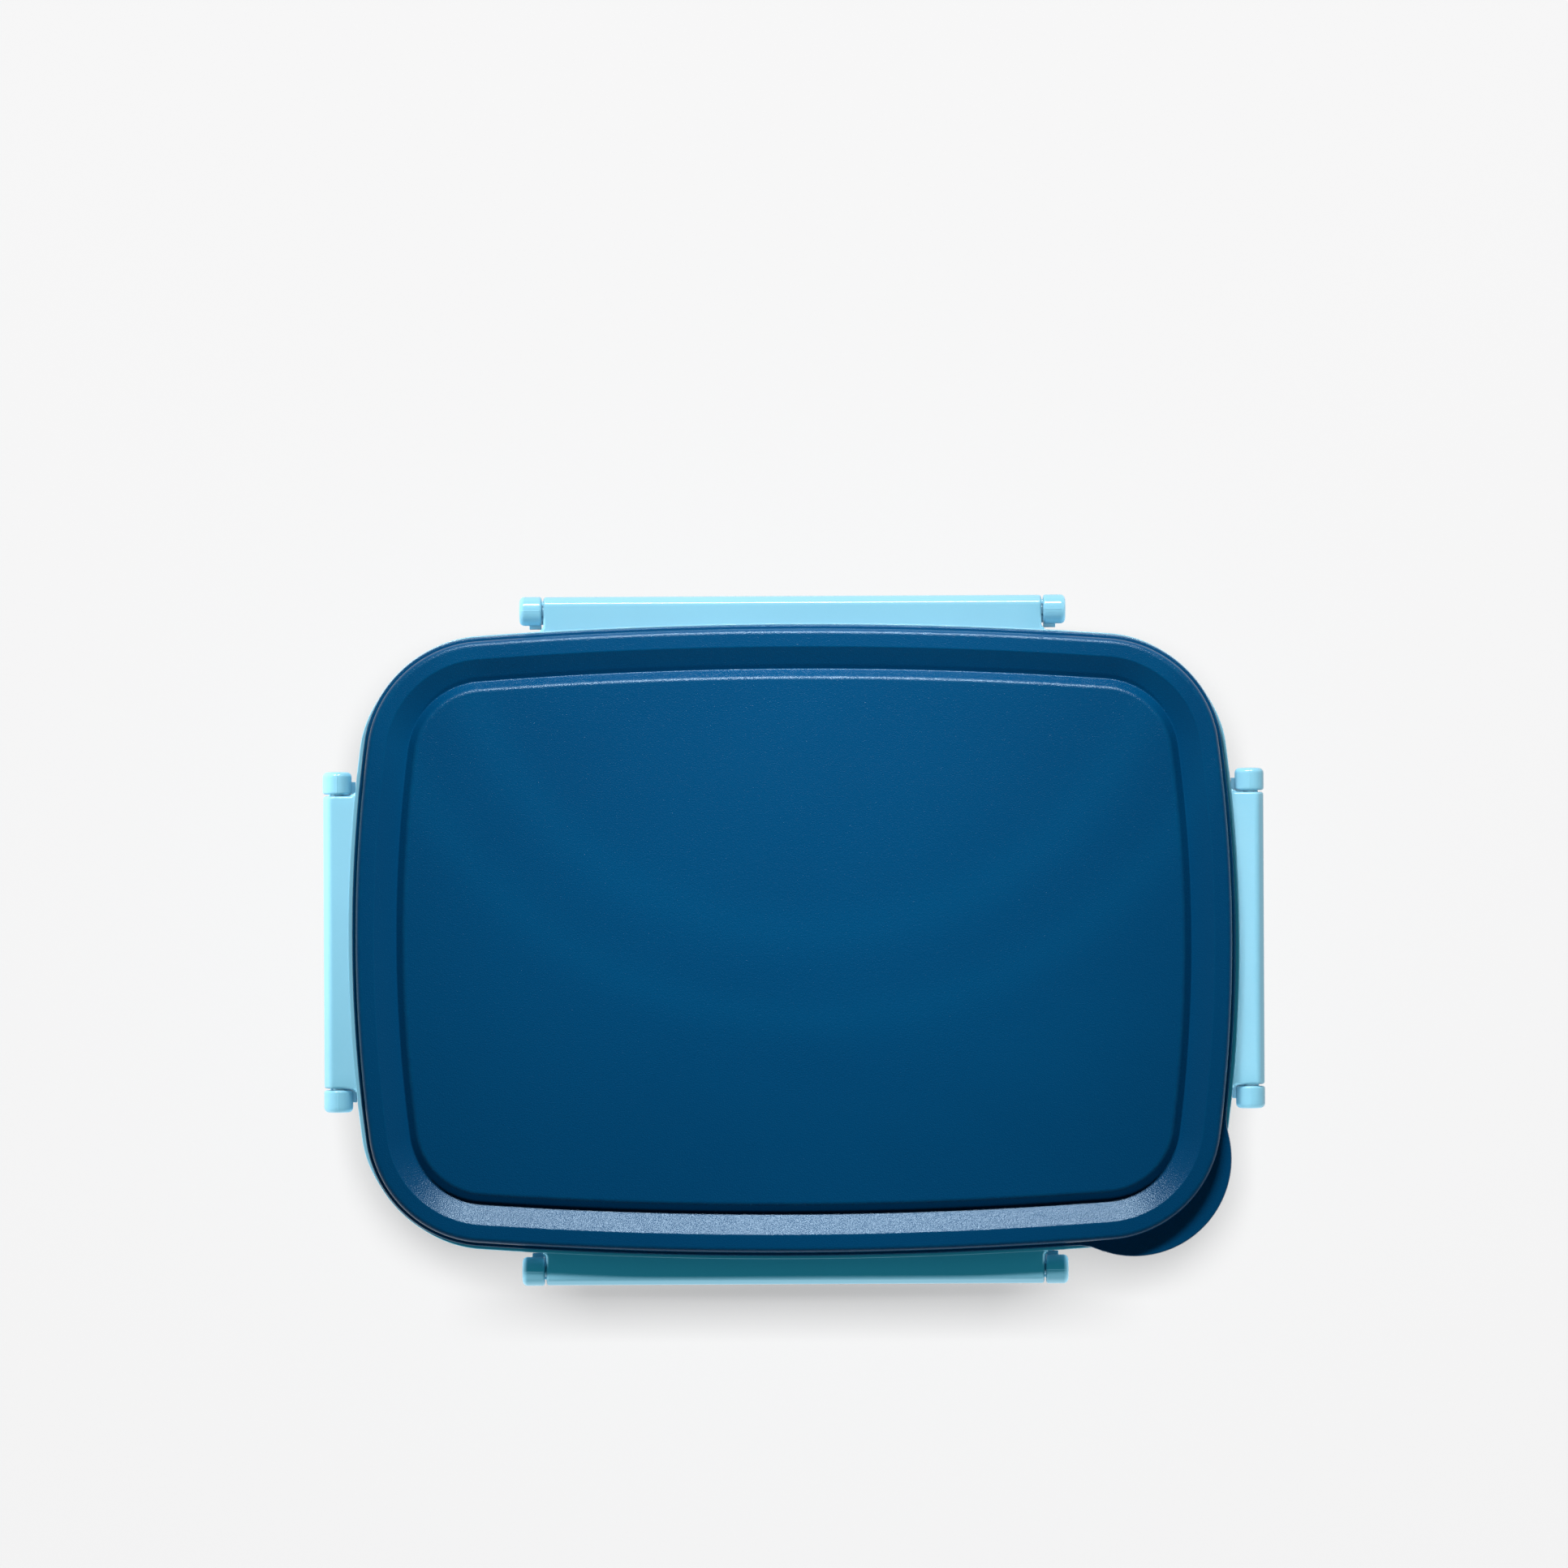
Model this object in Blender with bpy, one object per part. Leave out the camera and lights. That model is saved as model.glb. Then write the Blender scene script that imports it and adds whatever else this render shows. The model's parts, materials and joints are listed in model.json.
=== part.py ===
"""Snap-lid food container in two levels, held shut by four hinged latches.

A tub stands at the bottom. A shallower tray nests in its mouth, on a soft seal, and carries a
hinge bar on each side. A latch hangs from each bar and snaps under the tub's skirt. A lid with a
lifting tab at one corner presses onto the tray's rim.

Metres, +Z up. X runs along the length and +Y to the back. The origin is under the middle of the
box, on the surface that it stands on. A section is a list of (offset, height) points: offset is
how far a point lies outside the outline of the lid's flange, and is negative inside it.
"""

import math

import bmesh
import bpy
from mathutils import Matrix, Vector

# Outline of the lid's flange, which every ring of the box follows
LID_LENGTH = 0.2067
LID_WIDTH = 0.1477
CORNER_RADIUS = 0.0286
END_BOW_RADIUS = 0.357
SIDE_BOW_RADIUS = 1.027

# Clearances
FIT = 0.0003
SEAT_GAP = 0.0004
NEST_GAP = 0.0005
KNUCKLE_GAP = 0.0005
PIN_GAP = 0.0003
PLUG_GAP = 0.0007

# Base tub
BASE_WALL = 0.0018
LOWER_DEPTH = 0.038
WALL_DRAFT = math.radians(5)
BASE_FLOOR_FILLET = 0.007
FOOT_RECESS = 0.0008
FOOT_WIDTH = 0.004
SKIRT_HEIGHT = 0.011
SKIRT_WALL = 0.0018
SKIRT_OVERHANG = 0.0002

# Upper tray
TRAY_WALL = 0.0016
TRAY_DEPTH = 0.0182
TRAY_FLOOR_FILLET = 0.005
TRAY_FLANGE = 0.0024
TRAY_OVERHANG = 0.0005
TRAY_RIM = 0.0019
TRAY_LEDGE = 0.0031
LEDGE_STEP = 0.0003

# Seal between tray and tub
SEAL_WIDTH = 0.0024
SEAL_GROOVE = 0.0013
SEAL_SIDE_GAP = 0.0002
SEAL_LAND = 0.0005
SEAL_ROUNDING = 0.0004

# Snap lid
LID_WALL = 0.0016
LID_FLANGE = 0.0014
LID_STEP = 0.00095
LID_RIM_RISE = 0.0038
RIM_WIDTH = 0.0042
SLOPE_RUN = 0.00525
VALLEY_DROP = 0.0029
STEP_RUN = 0.0022
PANEL_DROP = 0.0007
PANEL_LAND = 0.003
PLUG_WALL = 0.0013
TAB_RADIUS = 0.0228
TAB_OFFSET = 0.0112
TAB_BEARING = math.radians(-49)
TAB_THICKNESS = 0.0013

# Hinge bars on the tray
SIDE_BAR_LENGTH = 0.117
END_BAR_LENGTH = 0.0685
BAR_REACH = 0.0068
BAR_STEP = 0.0003
BAR_WALL = 0.0014
BAR_END_BLOCK = 0.005
BAR_EDGE = 0.0012
BAR_DRAFT = math.radians(8)

# Latches
KNUCKLE_RADIUS = 0.0034
KNUCKLE_LENGTH = 0.005
KNUCKLE_ROUNDING = 0.001
PIN_RADIUS = 0.0013
PIN_LENGTH = 0.0025
ARM_WALL = 0.0028
ARM_INSET = 0.0002
ARM_PROUD = 0.0004
LATCH_WALL = 0.0022
LATCH_DROP = 0.0245
LATCH_EDGE = 0.0006
LATCH_CORNER = 0.005
LIP_REACH = 0.0021
LIP_RISE = 0.006
HOOK_BITE = 0.0013
HOOK_HEIGHT = 0.003
HOOK_TIP = 0.0009
HOOK_END_MARGIN = 0.014

# Small moulded radii
EDGE = 0.0004
RIM_EDGE = 0.0006
SKIRT_EDGE = 0.0008
LID_EDGE = 0.0011
PANEL_EDGE = 0.001

# Facets
BOW_STEPS = 3
CORNER_STEPS = 8
FILLET_FACET = 0.002
ROUNDING_STEPS = 2
LATCH_CORNER_STEPS = 5
ROUND_SIDES = 20
DISC_SIDES = 60
SHARP_ANGLE = math.radians(35)
WELD = 0.000001
KNIFE_GAP = 0.00002

# Heights
BASE_FLOOR = FOOT_RECESS + BASE_WALL
TRAY_UNDERSIDE = BASE_FLOOR + LOWER_DEPTH
TRAY_FLOOR = TRAY_UNDERSIDE + TRAY_WALL
FLANGE_TOP = TRAY_FLOOR + TRAY_DEPTH
FLANGE_UNDERSIDE = FLANGE_TOP - TRAY_FLANGE
LEDGE_TOP = FLANGE_TOP - LEDGE_STEP
BASE_RIM = FLANGE_UNDERSIDE - SEAT_GAP
SKIRT_BOTTOM = BASE_RIM - SKIRT_HEIGHT
LID_UNDERSIDE = FLANGE_TOP + FIT
LID_FLANGE_TOP = LID_UNDERSIDE + LID_FLANGE
LID_TOP = LID_FLANGE_TOP + LID_RIM_RISE
LID_CEILING = LID_TOP - LID_WALL
BAR_TOP = FLANGE_TOP - BAR_STEP
HINGE_HEIGHT = BAR_TOP - KNUCKLE_RADIUS

# Offsets from the outline
LID_SKIRT_INSIDE = -LID_STEP - LID_WALL
TRAY_RIM_OUTSIDE = LID_SKIRT_INSIDE - FIT
TRAY_RIM_INSIDE = TRAY_RIM_OUTSIDE - TRAY_RIM
PLUG_OUTSIDE = TRAY_RIM_INSIDE - FIT
PLUG_INSIDE = PLUG_OUTSIDE - PLUG_WALL
TRAY_INSIDE = TRAY_RIM_INSIDE - TRAY_LEDGE
TRAY_OUTSIDE = TRAY_INSIDE + TRAY_WALL
BASE_INSIDE = TRAY_OUTSIDE + NEST_GAP
BASE_OUTSIDE = BASE_INSIDE + BASE_WALL
GROOVE_INSIDE = BASE_INSIDE + SEAL_LAND
GROOVE_OUTSIDE = GROOVE_INSIDE + SEAL_WIDTH + 2 * SEAL_SIDE_GAP
BAR_INSIDE = SKIRT_OVERHANG + 2 * FIT
BAR_LEAN = 2 * KNUCKLE_RADIUS * math.tan(BAR_DRAFT)
HINGE_OFFSET = BAR_REACH - KNUCKLE_RADIUS

LIGHT_BLUE = (0.30, 0.68, 0.86, 1)
DARK_BLUE = (0.003, 0.07, 0.17, 1)
SILICONE = (0.80, 0.83, 0.84, 1)
GLOSSY = 0.25
MATTE = 0.5
SOFT = 0.6

# Each side of the box: latch name, bar length, the outline's reach there, and the turn about +Z
# that points a bar's outward direction, local +Y, away from the box
SIDES = (
    ("latch_rear", SIDE_BAR_LENGTH, LID_WIDTH / 2, 0),
    ("latch_left", END_BAR_LENGTH, LID_LENGTH / 2, math.pi / 2),
    ("latch_front", SIDE_BAR_LENGTH, LID_WIDTH / 2, math.pi),
    ("latch_right", END_BAR_LENGTH, LID_LENGTH / 2, -math.pi / 2),
)


def clear_scene():
    for old in list(bpy.data.objects):
        bpy.data.objects.remove(old, do_unlink=True)


def new_collection(name):
    collection = bpy.data.collections.new(name)
    bpy.context.scene.collection.children.link(collection)
    return collection


def corner_centre():
    """Centre of the outline's corner arc at +X +Y, tangent inside both bowed sides."""
    end_middle = Vector((LID_LENGTH / 2 - END_BOW_RADIUS, 0))
    side_middle = Vector((0, LID_WIDTH / 2 - SIDE_BOW_RADIUS))
    end_reach = END_BOW_RADIUS - CORNER_RADIUS
    side_reach = SIDE_BOW_RADIUS - CORNER_RADIUS
    between = side_middle - end_middle
    distance = between.length
    along = (distance**2 + end_reach**2 - side_reach**2) / (2 * distance)
    across = math.sqrt(end_reach**2 - along**2)
    direction = between / distance
    return end_middle + along * direction + across * Vector((-direction.y, direction.x))


def outline_stations():
    """(centre x, centre y, radius, angle) of each point of the outline, anticlockwise from +X."""
    corner = corner_centre()
    end_x = LID_LENGTH / 2 - END_BOW_RADIUS
    side_y = LID_WIDTH / 2 - SIDE_BOW_RADIUS
    end_angle = math.atan2(corner.y, corner.x - end_x)
    side_angle = math.atan2(corner.y - side_y, corner.x)
    end_turn = end_angle / BOW_STEPS
    corner_turn = (side_angle - end_angle) / CORNER_STEPS
    side_turn = (math.pi / 2 - side_angle) / BOW_STEPS
    quarter = [(end_x, 0, END_BOW_RADIUS, end_turn * step) for step in range(BOW_STEPS)]
    for step in range(CORNER_STEPS):
        quarter.append((corner.x, corner.y, CORNER_RADIUS, end_angle + corner_turn * step))
    for step in range(BOW_STEPS + 1):
        quarter.append((0, side_y, SIDE_BOW_RADIUS, side_angle + side_turn * step))
    half = quarter + [(-x, y, radius, math.pi - angle) for x, y, radius, angle in quarter[-2::-1]]
    return half + [(-x, -y, radius, angle + math.pi) for x, y, radius, angle in half[1:-1]]


STATIONS = outline_stations()


def ring(offset, height):
    """Points of the outline moved outwards by offset, at one height."""
    points = []
    for x, y, radius, angle in STATIONS:
        reach = radius + offset
        points.append(Vector((x + reach * math.cos(angle), y + reach * math.sin(angle), height)))
    return points


def fillet(before, corner, after, radius):
    """Points of an arc that rounds a corner, kept to half of the shorter edge beside it."""
    back = before - corner
    ahead = after - corner
    half_angle = back.angle(ahead) / 2
    reach = min(radius / math.tan(half_angle), back.length / 2, ahead.length / 2)
    start = corner + reach * back.normalized()
    end = corner + reach * ahead.normalized()
    bisector = (back.normalized() + ahead.normalized()).normalized()
    centre = corner + bisector * reach / math.cos(half_angle)
    spread = start - centre
    turn = -spread.angle_signed(end - centre)
    steps = 1 + round(radius / FILLET_FACET)
    return [centre + Matrix.Rotation(turn * step / steps, 2) @ spread for step in range(steps + 1)]


def rounded(corners, closed=False):
    """Section through (offset, height, radius) corners, each rounded by its radius."""
    points = [Vector(corner[:2]) for corner in corners]
    section = []
    for index, point in enumerate(points):
        radius = corners[index][2]
        at_end = index in (0, len(points) - 1) and not closed
        if at_end or not radius:
            section.append(point)
            continue
        section += fillet(points[index - 1], point, points[(index + 1) % len(points)], radius)
    return section


def parallel(line, distance):
    """A line of points moved to its left by distance, with mitred corners."""
    normals = []
    for start, end in zip(line, line[1:]):
        along = (end - start).normalized()
        normals.append(Vector((-along.y, along.x)))
    moved = [line[0] + distance * normals[0]]
    for point, before, after in zip(line[1:], normals, normals[1:]):
        moved.append(point + distance * (before + after) / (1 + before.dot(after)))
    return moved + [line[-1] + distance * normals[-1]]


def height_on(start, end, offset):
    """Height of the straight line from start to end at an offset."""
    return start.y + (end.y - start.y) * (offset - start.x) / (end.x - start.x)


def finished_mesh(work, name):
    """Closes a bmesh: faces outwards, smooth apart from its sharp edges."""
    bmesh.ops.recalc_face_normals(work, faces=work.faces)
    mesh = bpy.data.meshes.new(name)
    work.to_mesh(mesh)
    work.free()
    mesh.shade_smooth()
    mesh.set_sharp_from_angle(angle=SHARP_ANGLE)
    return mesh


def swept(name, section, closed=False):
    """Solid of a section carried round the outline: each ring is extruded to the next.

    An open section starts and ends on flat caps, and a closed one makes a hoop.
    """
    work = bmesh.new()
    station = work.verts.layers.int.new("station")
    verts = [work.verts.new(point) for point in ring(*section[0])]
    for index, vert in enumerate(verts):
        vert[station] = index
    edges = [work.edges.new(pair) for pair in zip(verts, verts[1:] + verts[:1])]
    first_edges = edges
    for offset, height in section[1:] + section[:1] * closed:
        points = ring(offset, height)
        grown = bmesh.ops.extrude_edge_only(work, edges=edges)["geom"]
        verts = [item for item in grown if isinstance(item, bmesh.types.BMVert)]
        edges = [item for item in grown if isinstance(item, bmesh.types.BMEdge)]
        for vert in verts:
            vert.co = points[vert[station]]
    if closed:
        bmesh.ops.remove_doubles(work, verts=work.verts, dist=WELD)
    else:
        bmesh.ops.edgeloop_fill(work, edges=first_edges)
        bmesh.ops.edgeloop_fill(work, edges=edges)
    work.verts.layers.int.remove(station)
    return finished_mesh(work, name)


def prism(name, section, length):
    """Solid of a (y, z) section drawn out along X, half of length each way."""
    work = bmesh.new()
    face = work.faces.new([work.verts.new((-length / 2, y, z)) for y, z in section])
    grown = bmesh.ops.extrude_face_region(work, geom=[face])["geom"]
    verts = [item for item in grown if isinstance(item, bmesh.types.BMVert)]
    bmesh.ops.translate(work, verts=verts, vec=(length, 0, 0))
    return finished_mesh(work, name)


def round_bar(name, radius, start, end, rounding=0):
    """Cylinder about the X axis from start to end, its far edge rounded."""
    work = bmesh.new()
    turn = Matrix.Rotation(math.pi / 2, 4, "Y")
    middle = Matrix.Translation(((start + end) / 2, 0, 0))
    bmesh.ops.create_cone(
        work,
        cap_ends=True,
        segments=ROUND_SIDES,
        radius1=radius,
        radius2=radius,
        depth=abs(end - start),
        matrix=middle @ turn,
    )
    if rounding:
        rim = [edge for edge in work.edges if all(abs(vert.co.x - end) < WELD for vert in edge.verts)]
        bmesh.ops.bevel(
            work, geom=rim, offset=rounding, segments=ROUNDING_STEPS, profile=0.5, affect="EDGES"
        )
    return finished_mesh(work, name)


def disc(name, radius, thickness):
    work = bmesh.new()
    bmesh.ops.create_cone(
        work, cap_ends=True, segments=DISC_SIDES, radius1=radius, radius2=radius, depth=thickness
    )
    return finished_mesh(work, name)


def box(name, low, high):
    """Box between two corners."""
    low = Vector(low)
    high = Vector(high)
    work = bmesh.new()
    place = Matrix.Translation((low + high) / 2) @ Matrix.Diagonal((high - low).to_4d())
    bmesh.ops.create_cube(work, size=1, matrix=place)
    return finished_mesh(work, name)


def helper(mesh, placement=None):
    """A hidden object that is only joined to a part or cut from it."""
    tool = bpy.data.objects.new(mesh.name + "_helper", mesh)
    tool.hide_render = True
    tool.display_type = "WIRE"
    tool.matrix_world = placement or Matrix.Identity(4)
    cutters.objects.link(tool)
    return tool


def combined(mesh, additions=(), cuts=()):
    """Mesh with the additions joined to it and then the cuts taken out of it."""
    body = helper(mesh)
    for operation, tools in (("UNION", additions), ("DIFFERENCE", cuts)):
        for tool in tools:
            boolean = body.modifiers.new(tool.name, "BOOLEAN")
            boolean.operation = operation
            boolean.solver = "EXACT"
            boolean.object = tool
    graph = bpy.context.evaluated_depsgraph_get()
    result = bpy.data.meshes.new_from_object(body.evaluated_get(graph))
    result.name = mesh.name
    result.shade_smooth()
    result.set_sharp_from_angle(angle=SHARP_ANGLE)
    return result


def plastic(name, colour, roughness):
    material = bpy.data.materials.new(name)
    material.use_nodes = True
    shader = material.node_tree.nodes["Principled BSDF"]
    shader.inputs["Base Color"].default_value = colour
    shader.inputs["Roughness"].default_value = roughness
    shader.inputs["Metallic"].default_value = 0
    return material


def add_part(name, mesh, colour, roughness, placement=None):
    part = bpy.data.objects.new(name, mesh)
    parts.objects.link(part)
    part.matrix_world = placement or Matrix.Identity(4)
    mesh.materials.clear()
    mesh.materials.append(None)
    part.material_slots[0].link = "OBJECT"
    part.material_slots[0].material = plastic(name + "_finish", colour, roughness)
    return part


def drafted(offset, from_height, to_height):
    """Offset of a wall that leans in from one height down to another."""
    return offset - (from_height - to_height) * math.tan(WALL_DRAFT)


def make_base_tub():
    """Tub whose rim turns over into a skirt, which the latches catch, on a raised foot ring."""
    floor_inside = drafted(BASE_INSIDE, BASE_RIM, BASE_FLOOR)
    rim_underside = BASE_RIM - BASE_WALL
    foot_outside = drafted(BASE_OUTSIDE, BASE_RIM, 0)
    outer_fillet = BASE_FLOOR_FILLET + BASE_WALL
    foot_inside = foot_outside - outer_fillet - FOOT_WIDTH
    recess_edge = foot_inside - FOOT_RECESS
    skirt_inside = SKIRT_OVERHANG - SKIRT_WALL
    section = rounded(
        [
            (floor_inside - 2 * BASE_FLOOR_FILLET, BASE_FLOOR, 0),
            (floor_inside, BASE_FLOOR, BASE_FLOOR_FILLET),
            (BASE_INSIDE, BASE_RIM, EDGE),
            (SKIRT_OVERHANG, BASE_RIM, SKIRT_EDGE),
            (SKIRT_OVERHANG, SKIRT_BOTTOM, EDGE),
            (skirt_inside, SKIRT_BOTTOM, 0),
            (skirt_inside, rim_underside, 0),
            (drafted(BASE_OUTSIDE, BASE_RIM, rim_underside), rim_underside, 0),
            (foot_outside, 0, outer_fillet),
            (foot_inside, 0, 0),
            (recess_edge, FOOT_RECESS, 0),
        ]
    )
    add_part("base_tub", swept("base_tub", section), LIGHT_BLUE, GLOSSY)


def make_seal_ring():
    """Soft hoop in the groove under the tray's flange, which the tub's rim presses."""
    inside = GROOVE_INSIDE + SEAL_SIDE_GAP
    outside = GROOVE_OUTSIDE - SEAL_SIDE_GAP
    top = FLANGE_UNDERSIDE + SEAL_GROOVE - FIT
    bottom = BASE_RIM + FIT
    section = rounded(
        [
            (inside, top, 0),
            (outside, top, 0),
            (outside, bottom, SEAL_ROUNDING),
            (inside, bottom, SEAL_ROUNDING),
        ],
        closed=True,
    )
    add_part("seal_ring", swept("seal_ring", section, closed=True), SILICONE, SOFT)


def tray_body():
    """Tray with a ledge and an upstanding rim for the lid, and a grooved flange over the tub."""
    floor_inside = drafted(TRAY_INSIDE, LEDGE_TOP, TRAY_FLOOR)
    floor_outside = drafted(TRAY_OUTSIDE, LEDGE_TOP, TRAY_UNDERSIDE)
    groove_top = FLANGE_UNDERSIDE + SEAL_GROOVE
    rim_top = LID_CEILING - FIT
    section = rounded(
        [
            (floor_inside - 2 * TRAY_FLOOR_FILLET, TRAY_FLOOR, 0),
            (floor_inside, TRAY_FLOOR, TRAY_FLOOR_FILLET),
            (TRAY_INSIDE, LEDGE_TOP, EDGE),
            (TRAY_RIM_INSIDE, LEDGE_TOP, 0),
            (TRAY_RIM_INSIDE, rim_top, RIM_EDGE),
            (TRAY_RIM_OUTSIDE, rim_top, RIM_EDGE),
            (TRAY_RIM_OUTSIDE, FLANGE_TOP, 0),
            (TRAY_OVERHANG, FLANGE_TOP, EDGE),
            (TRAY_OVERHANG, FLANGE_UNDERSIDE, 0),
            (GROOVE_OUTSIDE, FLANGE_UNDERSIDE, 0),
            (GROOVE_OUTSIDE, groove_top, 0),
            (GROOVE_INSIDE, groove_top, 0),
            (GROOVE_INSIDE, FLANGE_UNDERSIDE, 0),
            (drafted(TRAY_OUTSIDE, LEDGE_TOP, FLANGE_UNDERSIDE), FLANGE_UNDERSIDE, 0),
            (floor_outside, TRAY_UNDERSIDE, TRAY_FLOOR_FILLET + TRAY_WALL),
            (floor_outside - 2 * TRAY_FLOOR_FILLET, TRAY_UNDERSIDE, 0),
        ]
    )
    return swept("upper_tray", section)


def bar_section():
    """Section of a hinge bar about its axis: a block outside the skirt, on a web over the groove."""
    web_underside = FLANGE_UNDERSIDE + FIT
    web_root = GROOVE_OUTSIDE + BAR_WALL
    root_underside = FLANGE_UNDERSIDE + SEAL_GROOVE + LEDGE_STEP
    bar_bottom = HINGE_HEIGHT - KNUCKLE_RADIUS
    corners = [
        (TRAY_RIM_OUTSIDE + FIT, BAR_TOP, 0),
        (TRAY_RIM_OUTSIDE + FIT, root_underside, 0),
        (web_root, root_underside, 0),
        (web_root, web_underside, 0),
        (BAR_INSIDE, web_underside, 0),
        (BAR_INSIDE, bar_bottom, EDGE),
        (BAR_REACH, bar_bottom, BAR_EDGE),
        (BAR_REACH - BAR_LEAN, BAR_TOP, BAR_EDGE),
    ]
    axis = Vector((HINGE_OFFSET, HINGE_HEIGHT))
    return [point - axis for point in rounded(corners, closed=True)]


def bar_mesh(name, length):
    """Hinge bar, cored out from below, with a blind socket in each solid end."""
    core_length = length - 2 * BAR_END_BLOCK
    core_low = (-core_length / 2, BAR_INSIDE + BAR_WALL - HINGE_OFFSET, -2 * KNUCKLE_RADIUS)
    core_high = (core_length / 2, KNUCKLE_RADIUS - BAR_LEAN - BAR_WALL, KNUCKLE_RADIUS - BAR_WALL)
    cuts = [helper(box(name + "_core", core_low, core_high))]
    for end in (-1, 1):
        bottom = end * (length / 2 - PIN_LENGTH - PIN_GAP)
        mouth = end * (length / 2 + KNUCKLE_GAP)
        cuts.append(helper(round_bar(name + "_socket", PIN_RADIUS + PIN_GAP, bottom, mouth)))
    return combined(prism(name, bar_section(), length), cuts=cuts)


def hinge_placement(reach, turn):
    """Puts a hinge's own frame on its axis: X along it, +Y away from the box."""
    return Matrix.Rotation(turn, 4, "Z") @ Matrix.Translation((0, reach + HINGE_OFFSET, HINGE_HEIGHT))


def make_upper_tray():
    bars = []
    for latch_name, length, reach, turn in SIDES:
        mesh = bar_mesh(latch_name.replace("latch", "bar"), length)
        bars.append(helper(mesh, hinge_placement(reach, turn)))
    add_part("upper_tray", combined(tray_body(), additions=bars), LIGHT_BLUE, GLOSSY)


def lid_body():
    """Lid whose rim is an upside-down channel, then a slope down to a valley and a raised panel."""
    rim_inside = -LID_STEP - RIM_WIDTH
    valley = rim_inside - SLOPE_RUN
    panel_edge = valley - STEP_RUN
    panel_top = LID_TOP - PANEL_DROP
    valley_floor = LID_TOP - VALLEY_DROP
    plug_bottom = LEDGE_TOP + PLUG_GAP
    upper_line = [
        Vector((panel_edge - PANEL_LAND, panel_top)),
        Vector((panel_edge, panel_top)),
        Vector((valley, valley_floor)),
        Vector((rim_inside, LID_TOP)),
    ]
    panel_under, step_under, valley_under, slope_under = parallel(upper_line, -LID_WALL)
    section = rounded(
        [
            (panel_edge - PANEL_LAND, panel_top, 0),
            (panel_edge, panel_top, PANEL_EDGE),
            (valley, valley_floor, EDGE),
            (rim_inside, LID_TOP, EDGE),
            (-LID_STEP, LID_TOP, LID_EDGE),
            (-LID_STEP, LID_FLANGE_TOP, 0),
            (0, LID_FLANGE_TOP, EDGE),
            (0, LID_UNDERSIDE, 0),
            (LID_SKIRT_INSIDE, LID_UNDERSIDE, 0),
            (LID_SKIRT_INSIDE, LID_CEILING, EDGE),
            (PLUG_OUTSIDE, LID_CEILING, 0),
            (PLUG_OUTSIDE, plug_bottom, EDGE),
            (PLUG_INSIDE, plug_bottom, EDGE),
            (PLUG_INSIDE, height_on(valley_under, slope_under, PLUG_INSIDE), 0),
            (valley_under.x, valley_under.y, 0),
            (step_under.x, step_under.y, 0),
            (panel_under.x, panel_under.y, 0),
        ]
    )
    return swept("snap_lid", section)


def lid_tab():
    """Crescent of a disc round the front right corner, at the level of the lid's flange."""
    corner = corner_centre()
    centre = Vector((corner.x, -corner.y, LID_UNDERSIDE + LID_FLANGE / 2))
    centre += TAB_OFFSET * Vector((math.cos(TAB_BEARING), math.sin(TAB_BEARING), 0))
    inner_edge = -LID_STEP - LID_WALL / 2
    inside = swept("lid_inside", [(inner_edge, LID_UNDERSIDE - LID_FLANGE), (inner_edge, LID_TOP)])
    tab = helper(disc("lid_tab", TAB_RADIUS, TAB_THICKNESS), Matrix.Translation(centre))
    boolean = tab.modifiers.new("lid_inside", "BOOLEAN")
    boolean.operation = "DIFFERENCE"
    boolean.solver = "EXACT"
    boolean.object = helper(inside)
    return tab


def make_snap_lid():
    add_part("snap_lid", combined(lid_body(), additions=[lid_tab()]), DARK_BLUE, MATTE)


def hook_tip():
    """Upper corner of the hook about the hinge axis, with the latch hanging clear of the skirt.

    Snapped shut, the corner lies HOOK_BITE under the skirt. The latch then turns outwards about
    its hinge until the corner clears the skirt.
    """
    shut = Vector((SKIRT_OVERHANG - HOOK_BITE - HINGE_OFFSET, SKIRT_BOTTOM - FIT - HINGE_HEIGHT))
    out = SKIRT_OVERHANG + FIT - HINGE_OFFSET
    return Vector((out, -math.sqrt(shut.length_squared - out**2)))


def latch_plate_top():
    """Height of the plate's upper edge, which swings clear of the bar's lower outer corner."""
    bar_swing = (KNUCKLE_RADIUS - BAR_EDGE) * math.sqrt(2) + BAR_EDGE
    return -bar_swing - KNUCKLE_GAP


def latch_corner_cut(name, half_length, end):
    """Cutter that rounds a lower corner of a latch's plate, seen from outside the box."""
    centre = Vector((half_length - LATCH_CORNER, LATCH_CORNER - LATCH_DROP))
    past_end = half_length + LATCH_CORNER
    past_bottom = -LATCH_DROP - LATCH_CORNER
    reach = LATCH_CORNER + KNIFE_GAP
    section = [(past_end, centre.y), (past_end, past_bottom), (centre.x, past_bottom)]
    for step in range(LATCH_CORNER_STEPS + 1):
        angle = math.pi / 2 * (step / LATCH_CORNER_STEPS - 1)
        section.append((centre.x + reach * math.cos(angle), centre.y + reach * math.sin(angle)))
    width = 2 * (LATCH_WALL + LIP_REACH)
    turn = Matrix.Rotation(-end * math.pi / 2, 4, "Z")
    return helper(prism(name + "_corner", section, width), turn)


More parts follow.
